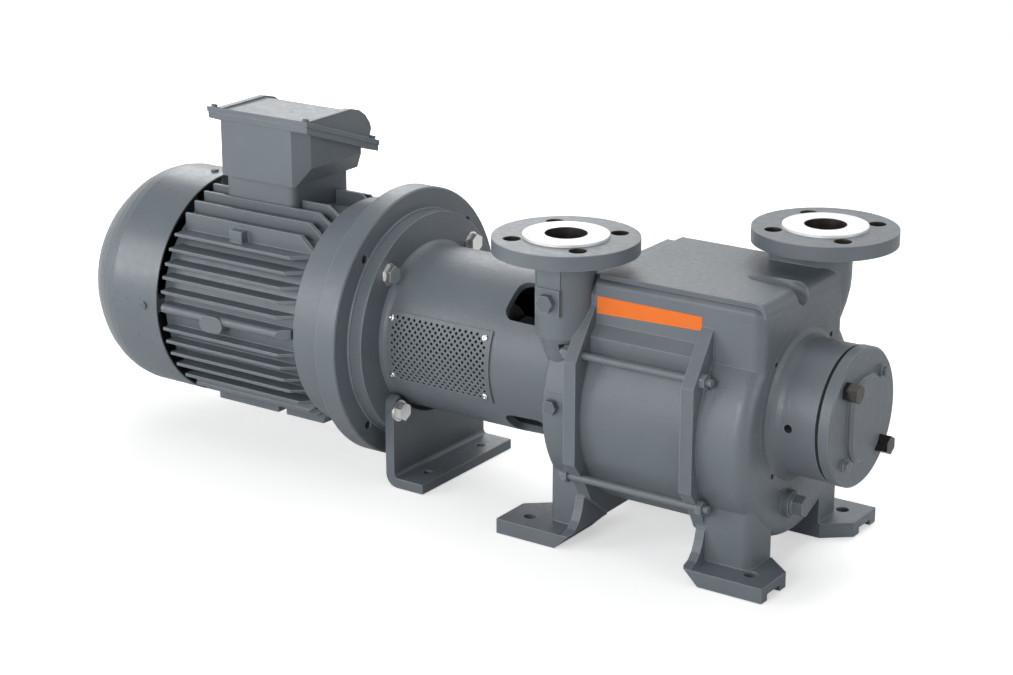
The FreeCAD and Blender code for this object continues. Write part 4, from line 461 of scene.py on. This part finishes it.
# Lantern and support bracket: cast barrel between motor and pump, and the bent steel
# foot below its flange.
plate_paint = cast_paint("plate_paint", tone=(0.132, 0.153, 0.172), grain=0.45, rough=0.40)
dress("lantern", cast_paint("lantern_paint", grain=0.9))
dress("support_bracket", plate_paint)

# Lantern bolts: zinc plated hex bolts on plain washers, the only bright metal on the
# motor side.
bright_zinc = uncoated("bright_zinc", (0.78, 0.78, 0.77), rough=0.20)
dress("lantern_bolts", bright_zinc)

# Guard plates: thin curved sheet over the side openings, punched with staggered round
# holes and painted. Each stands for a plain plate and reaches a little further toward
# the motor.
guard_inner = 0.0904
guard_thick = 0.0014
guard_past = 0.004
# holes: radius, half the pitch along the shaft and round the sheet, and the plain rims
hole_radius = 0.00182
hole_sides = 8
hole_pitch = 0.0037
hole_rise = 0.00205
end_rim = 0.004
long_rim = 0.003
# screws: distance in from each end, turn about the shaft, and the room round each
screw_in = (0.004, 0.008)
screw_turn = math.radians(20.5)
screw_room = 0.0050
cell_corners = ((1, 0), (1, 1), (0, 1), (-1, 1), (-1, 0), (-1, -1), (0, -1), (1, -1))
microns = 1e6


def punched_guard(name, node, side):
    """Curved sheet with staggered holes. The near side is -1 and the off side 1."""
    low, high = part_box(node)
    axis_z = (low.z + high.z) / 2
    left = low.x - guard_past
    mid = guard_inner + guard_thick / 2
    arc = mid * math.asin((high.z - low.z) / 2 / (guard_inner + guard_thick))
    columns = int((high.x - left - end_rim) / hole_pitch / 2) * 2
    rows = int((arc * 2 - long_rim) / hole_rise / 4) * 4
    start_x = (left + high.x) / 2 - columns * hole_pitch / 2
    start_s = -rows * hole_rise / 2
    screws = [(x, way * mid * screw_turn)
              for x in (left + screw_in[0], high.x - screw_in[1]) for way in (-1, 1)]
    points = []
    faces = []
    known = {}

    def point(x, s):
        """The point at x along the shaft and s along the arc, one for each micron."""
        key = (round(x * microns), round(s * microns))
        if key not in known:
            turn = s / mid
            known[key] = len(points)
            points.append((x, side * mid * math.cos(turn), axis_z + mid * math.sin(turn)))
        return known[key]

    def face(loop):
        faces.append(loop if side > 0 else loop[::-1])

    def patch(x0, s0, x1, s1):
        face([point(x0, s0), point(x1, s0), point(x1, s1), point(x0, s1)])

    def grid_x(i):
        return start_x + i * hole_pitch

    def grid_s(j):
        return start_s + j * hole_rise

    def punched_cell(x, s):
        """One hole with the sheet around it, two columns wide and two rows high."""
        outer = [point(x + a * hole_pitch, s + b * hole_rise) for a, b in cell_corners]
        rim = []
        for k in range(hole_sides):
            angle = math.radians(360 / hole_sides * k)
            rim.append(point(x + hole_radius * math.cos(angle),
                             s + hole_radius * math.sin(angle)))
        for k in range(hole_sides):
            after = (k + 1) % hole_sides
            face([rim[k], outer[k], outer[after], rim[after]])

    def plain_cell(x, s):
        """The same cell without its hole, where a guard screw sits."""
        for a in (-1, 0):
            for b in (-1, 0):
                patch(x + a * hole_pitch, s + b * hole_rise,
                      x + (a + 1) * hole_pitch, s + (b + 1) * hole_rise)

    for j in range(0, rows, 2):
        shifted = (j // 2) % 2
        for i in range(shifted, columns - 1, 2):
            x = grid_x(i + 1)
            s = grid_s(j + 1)
            if any(math.hypot(x - a, s - b) < screw_room for a, b in screws):
                plain_cell(x, s)
            else:
                punched_cell(x, s)
        if shifted:
            for i in (0, columns - 1):
                patch(grid_x(i), grid_s(j), grid_x(i + 1), grid_s(j + 1))
                patch(grid_x(i), grid_s(j + 1), grid_x(i + 1), grid_s(j + 2))
    # the plain rim all round
    for j in range(rows):
        patch(left, grid_s(j), grid_x(0), grid_s(j + 1))
        patch(grid_x(columns), grid_s(j), high.x, grid_s(j + 1))
    for i in range(columns):
        patch(grid_x(i), -arc, grid_x(i + 1), grid_s(0))
        patch(grid_x(i), grid_s(rows), grid_x(i + 1), arc)
    for a, b in ((left, grid_x(0)), (grid_x(columns), high.x)):
        patch(a, -arc, b, grid_s(0))
        patch(a, grid_s(rows), b, arc)
    guard = built_piece(name, points, faces, plate_paint)
    sheet = guard.modifiers.new("sheet", "SOLIDIFY")
    sheet.thickness = guard_thick
    sheet.offset = 0.0
    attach(guard, "frame")
    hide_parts(node)


punched_guard("near_punched_guard", "near_guard_plate", -1)
punched_guard("off_punched_guard", "off_guard_plate", 1)

# Guard shade sheets: a black sheet of painted shade, bent to the lantern's barrel, between it
# and each guard plate, so that the guard's holes show dark.
shade_sheet_black = uncoated("shade_sheet_black", (0.010, 0.010, 0.011), rough=0.80, metallic=0.0,
                          shine=0.1)
shade_sheet_inside = 0.0901
shade_sheet_outside = 0.0903
barrel_radius = 0.0905
shade_sheet_half_height = 0.0385
shade_sheet_half_turn = math.asin(shade_sheet_half_height / barrel_radius)
shade_sheet_past = 0.003
shade_sheet_short = 0.001
shade_sheet_steps = 24


def guard_shade_sheet(name, node, side):
    """A bent black sheet of painted shade that follows the inside of a guard plate."""
    low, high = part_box(node)
    axis_z = (low.z + high.z) / 2
    left = low.x - shade_sheet_past
    right = high.x - shade_sheet_short
    points = []
    for step in range(shade_sheet_steps + 1):
        turn = -shade_sheet_half_turn + shade_sheet_half_turn * 2 * step / shade_sheet_steps
        for x, radius in ((left, shade_sheet_inside), (right, shade_sheet_inside),
                          (right, shade_sheet_outside), (left, shade_sheet_outside)):
            points.append((x, side * radius * math.cos(turn), axis_z + radius * math.sin(turn)))
    faces = []
    for step in range(shade_sheet_steps):
        for a in range(4):
            b = (a + 1) % 4
            faces.append((4 * step + a, 4 * step + b, 4 * step + 4 + b, 4 * step + 4 + a))
    last = 4 * shade_sheet_steps
    faces += [(0, 3, 2, 1), (last, last + 1, last + 2, last + 3)]
    if side < 0:
        faces = [loop[::-1] for loop in faces]
    shade_sheet = built_piece(name, points, faces, shade_sheet_black)
    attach(shade_sheet, "frame")


guard_shade_sheet("near_guard_shade_sheet", "near_guard_plate", -1)
guard_shade_sheet("off_guard_shade_sheet", "off_guard_plate", 1)

# Guard screws: small pan head screws with a round recess, zinc plated, two at each end of
# a guard plate.
head_bottom = -0.0008
# rings of a head from its bottom to its recess: radius, and height above the seat
head_rings = ((0.0034, -0.0008), (0.0037, 0.0006), (0.0033, 0.0015), (0.0021, 0.0019),
              (0.0012, 0.0019), (0.0010, 0.0011))
head_recess = 0.0011
head_sides = 20
head_seat = 0.0918
head_points = []
head_faces = []


def pan_head(seat, out):
    """One screw head, turned about the direction that it points out in."""
    along = Vector((1, 0, 0))
    across = out.cross(along)
    first = len(head_points)
    for radius, height in head_rings:
        for k in range(head_sides):
            angle = 2 * math.pi * k / head_sides
            head_points.append(seat + out * height
                               + (along * math.cos(angle) + across * math.sin(angle)) * radius)
    bottom = len(head_points)
    head_points.append(seat + out * head_bottom)
    head_points.append(seat + out * head_recess)
    for ring in range(len(head_rings) - 1):
        for k in range(head_sides):
            a = first + ring * head_sides + k
            b = first + ring * head_sides + (k + 1) % head_sides
            head_faces.append((a, b, b + head_sides, a + head_sides))
    top = first + (len(head_rings) - 1) * head_sides
    for k in range(head_sides):
        after = (k + 1) % head_sides
        head_faces.append((bottom, first + after, first + k))
        head_faces.append((bottom + 1, top + k, top + after))


for side, node in ((-1, "near_guard_plate"), (1, "off_guard_plate")):
    low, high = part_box(node)
    for x in (low.x - guard_past + screw_in[0], high.x - screw_in[1]):
        for turn in (-screw_turn, screw_turn):
            out = Vector((0, side * math.cos(turn), math.sin(turn)))
            pan_head(Vector((x, 0, (low.z + high.z) / 2)) + out * head_seat, out)
guard_screw_heads = built_piece("guard_screw_heads", head_points, head_faces, bright_zinc)
for polygon in guard_screw_heads.data.polygons:
    polygon.use_smooth = True
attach(guard_screw_heads, "frame")
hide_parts("guard_screws")

# Coupling: two cast jaw hubs, one on each shaft end, and an elastomer star between
# their jaws.
dress("motor_coupling_hub", ground_iron)
dress("pump_coupling_hub", ground_iron)
dress("coupling_star", uncoated("star_rubber", (0.42, 0.05, 0.03), rough=0.60, metallic=0.0))

# Motor flange shield: the heavy cast ring that carries the lantern. Its outside is
# turned before painting and looks smoother.
dress("motor_flange_shield", cast_paint("flange_paint", grain=0.45))

# Motor frame and rear shield: die-cast tube with deep cooling fins, and the end shield
# below the cowl. Both are painted with the motor.
fin_paint = cast_paint("fin_paint", grain=0.5, rough=0.42)
dress("motor_frame", fin_paint)
dress("motor_rear_shield", fin_paint)

# Motor insides: laminated cores, varnished windings and a ground shaft, closed in by
# the shields, and a moulded fan that shows through the cowl's grille.
lamination = uncoated("lamination", (0.22, 0.22, 0.23), rough=0.5)
black_plastic = uncoated("black_plastic", (0.02, 0.02, 0.022), rough=0.5, metallic=0.0)
dress("rotor_core", lamination)
dress("stator_core", lamination)
dress("stator_windings", uncoated("copper", (0.55, 0.24, 0.11), rough=0.42))
dress("motor_shaft", ground_steel)
dress("motor_fan", black_plastic)

# Fan cowl: deep-drawn sheet steel, painted smooth and pulled over the rear shield. Its
# screws go in through the rim and are painted over.
dress("fan_cowl", cast_paint("cowl_paint", tone=(0.143, 0.166, 0.188), grain=0.12, rough=0.32))
dress("cowl_screws", plug_paint)

# Terminal box and lid: smooth die castings with a sunken lid top and corner screws. The
# moulded block inside carries brass studs.
box_paint = cast_paint("box_paint", grain=0.3, rough=0.42)
dress("terminal_box", box_paint)
dress("terminal_box_lid", box_paint)
dress("lid_screws", plug_paint)
dress("terminal_block", black_plastic)
dress("terminal_studs", uncoated("brass", (0.70, 0.52, 0.22), rough=0.35))
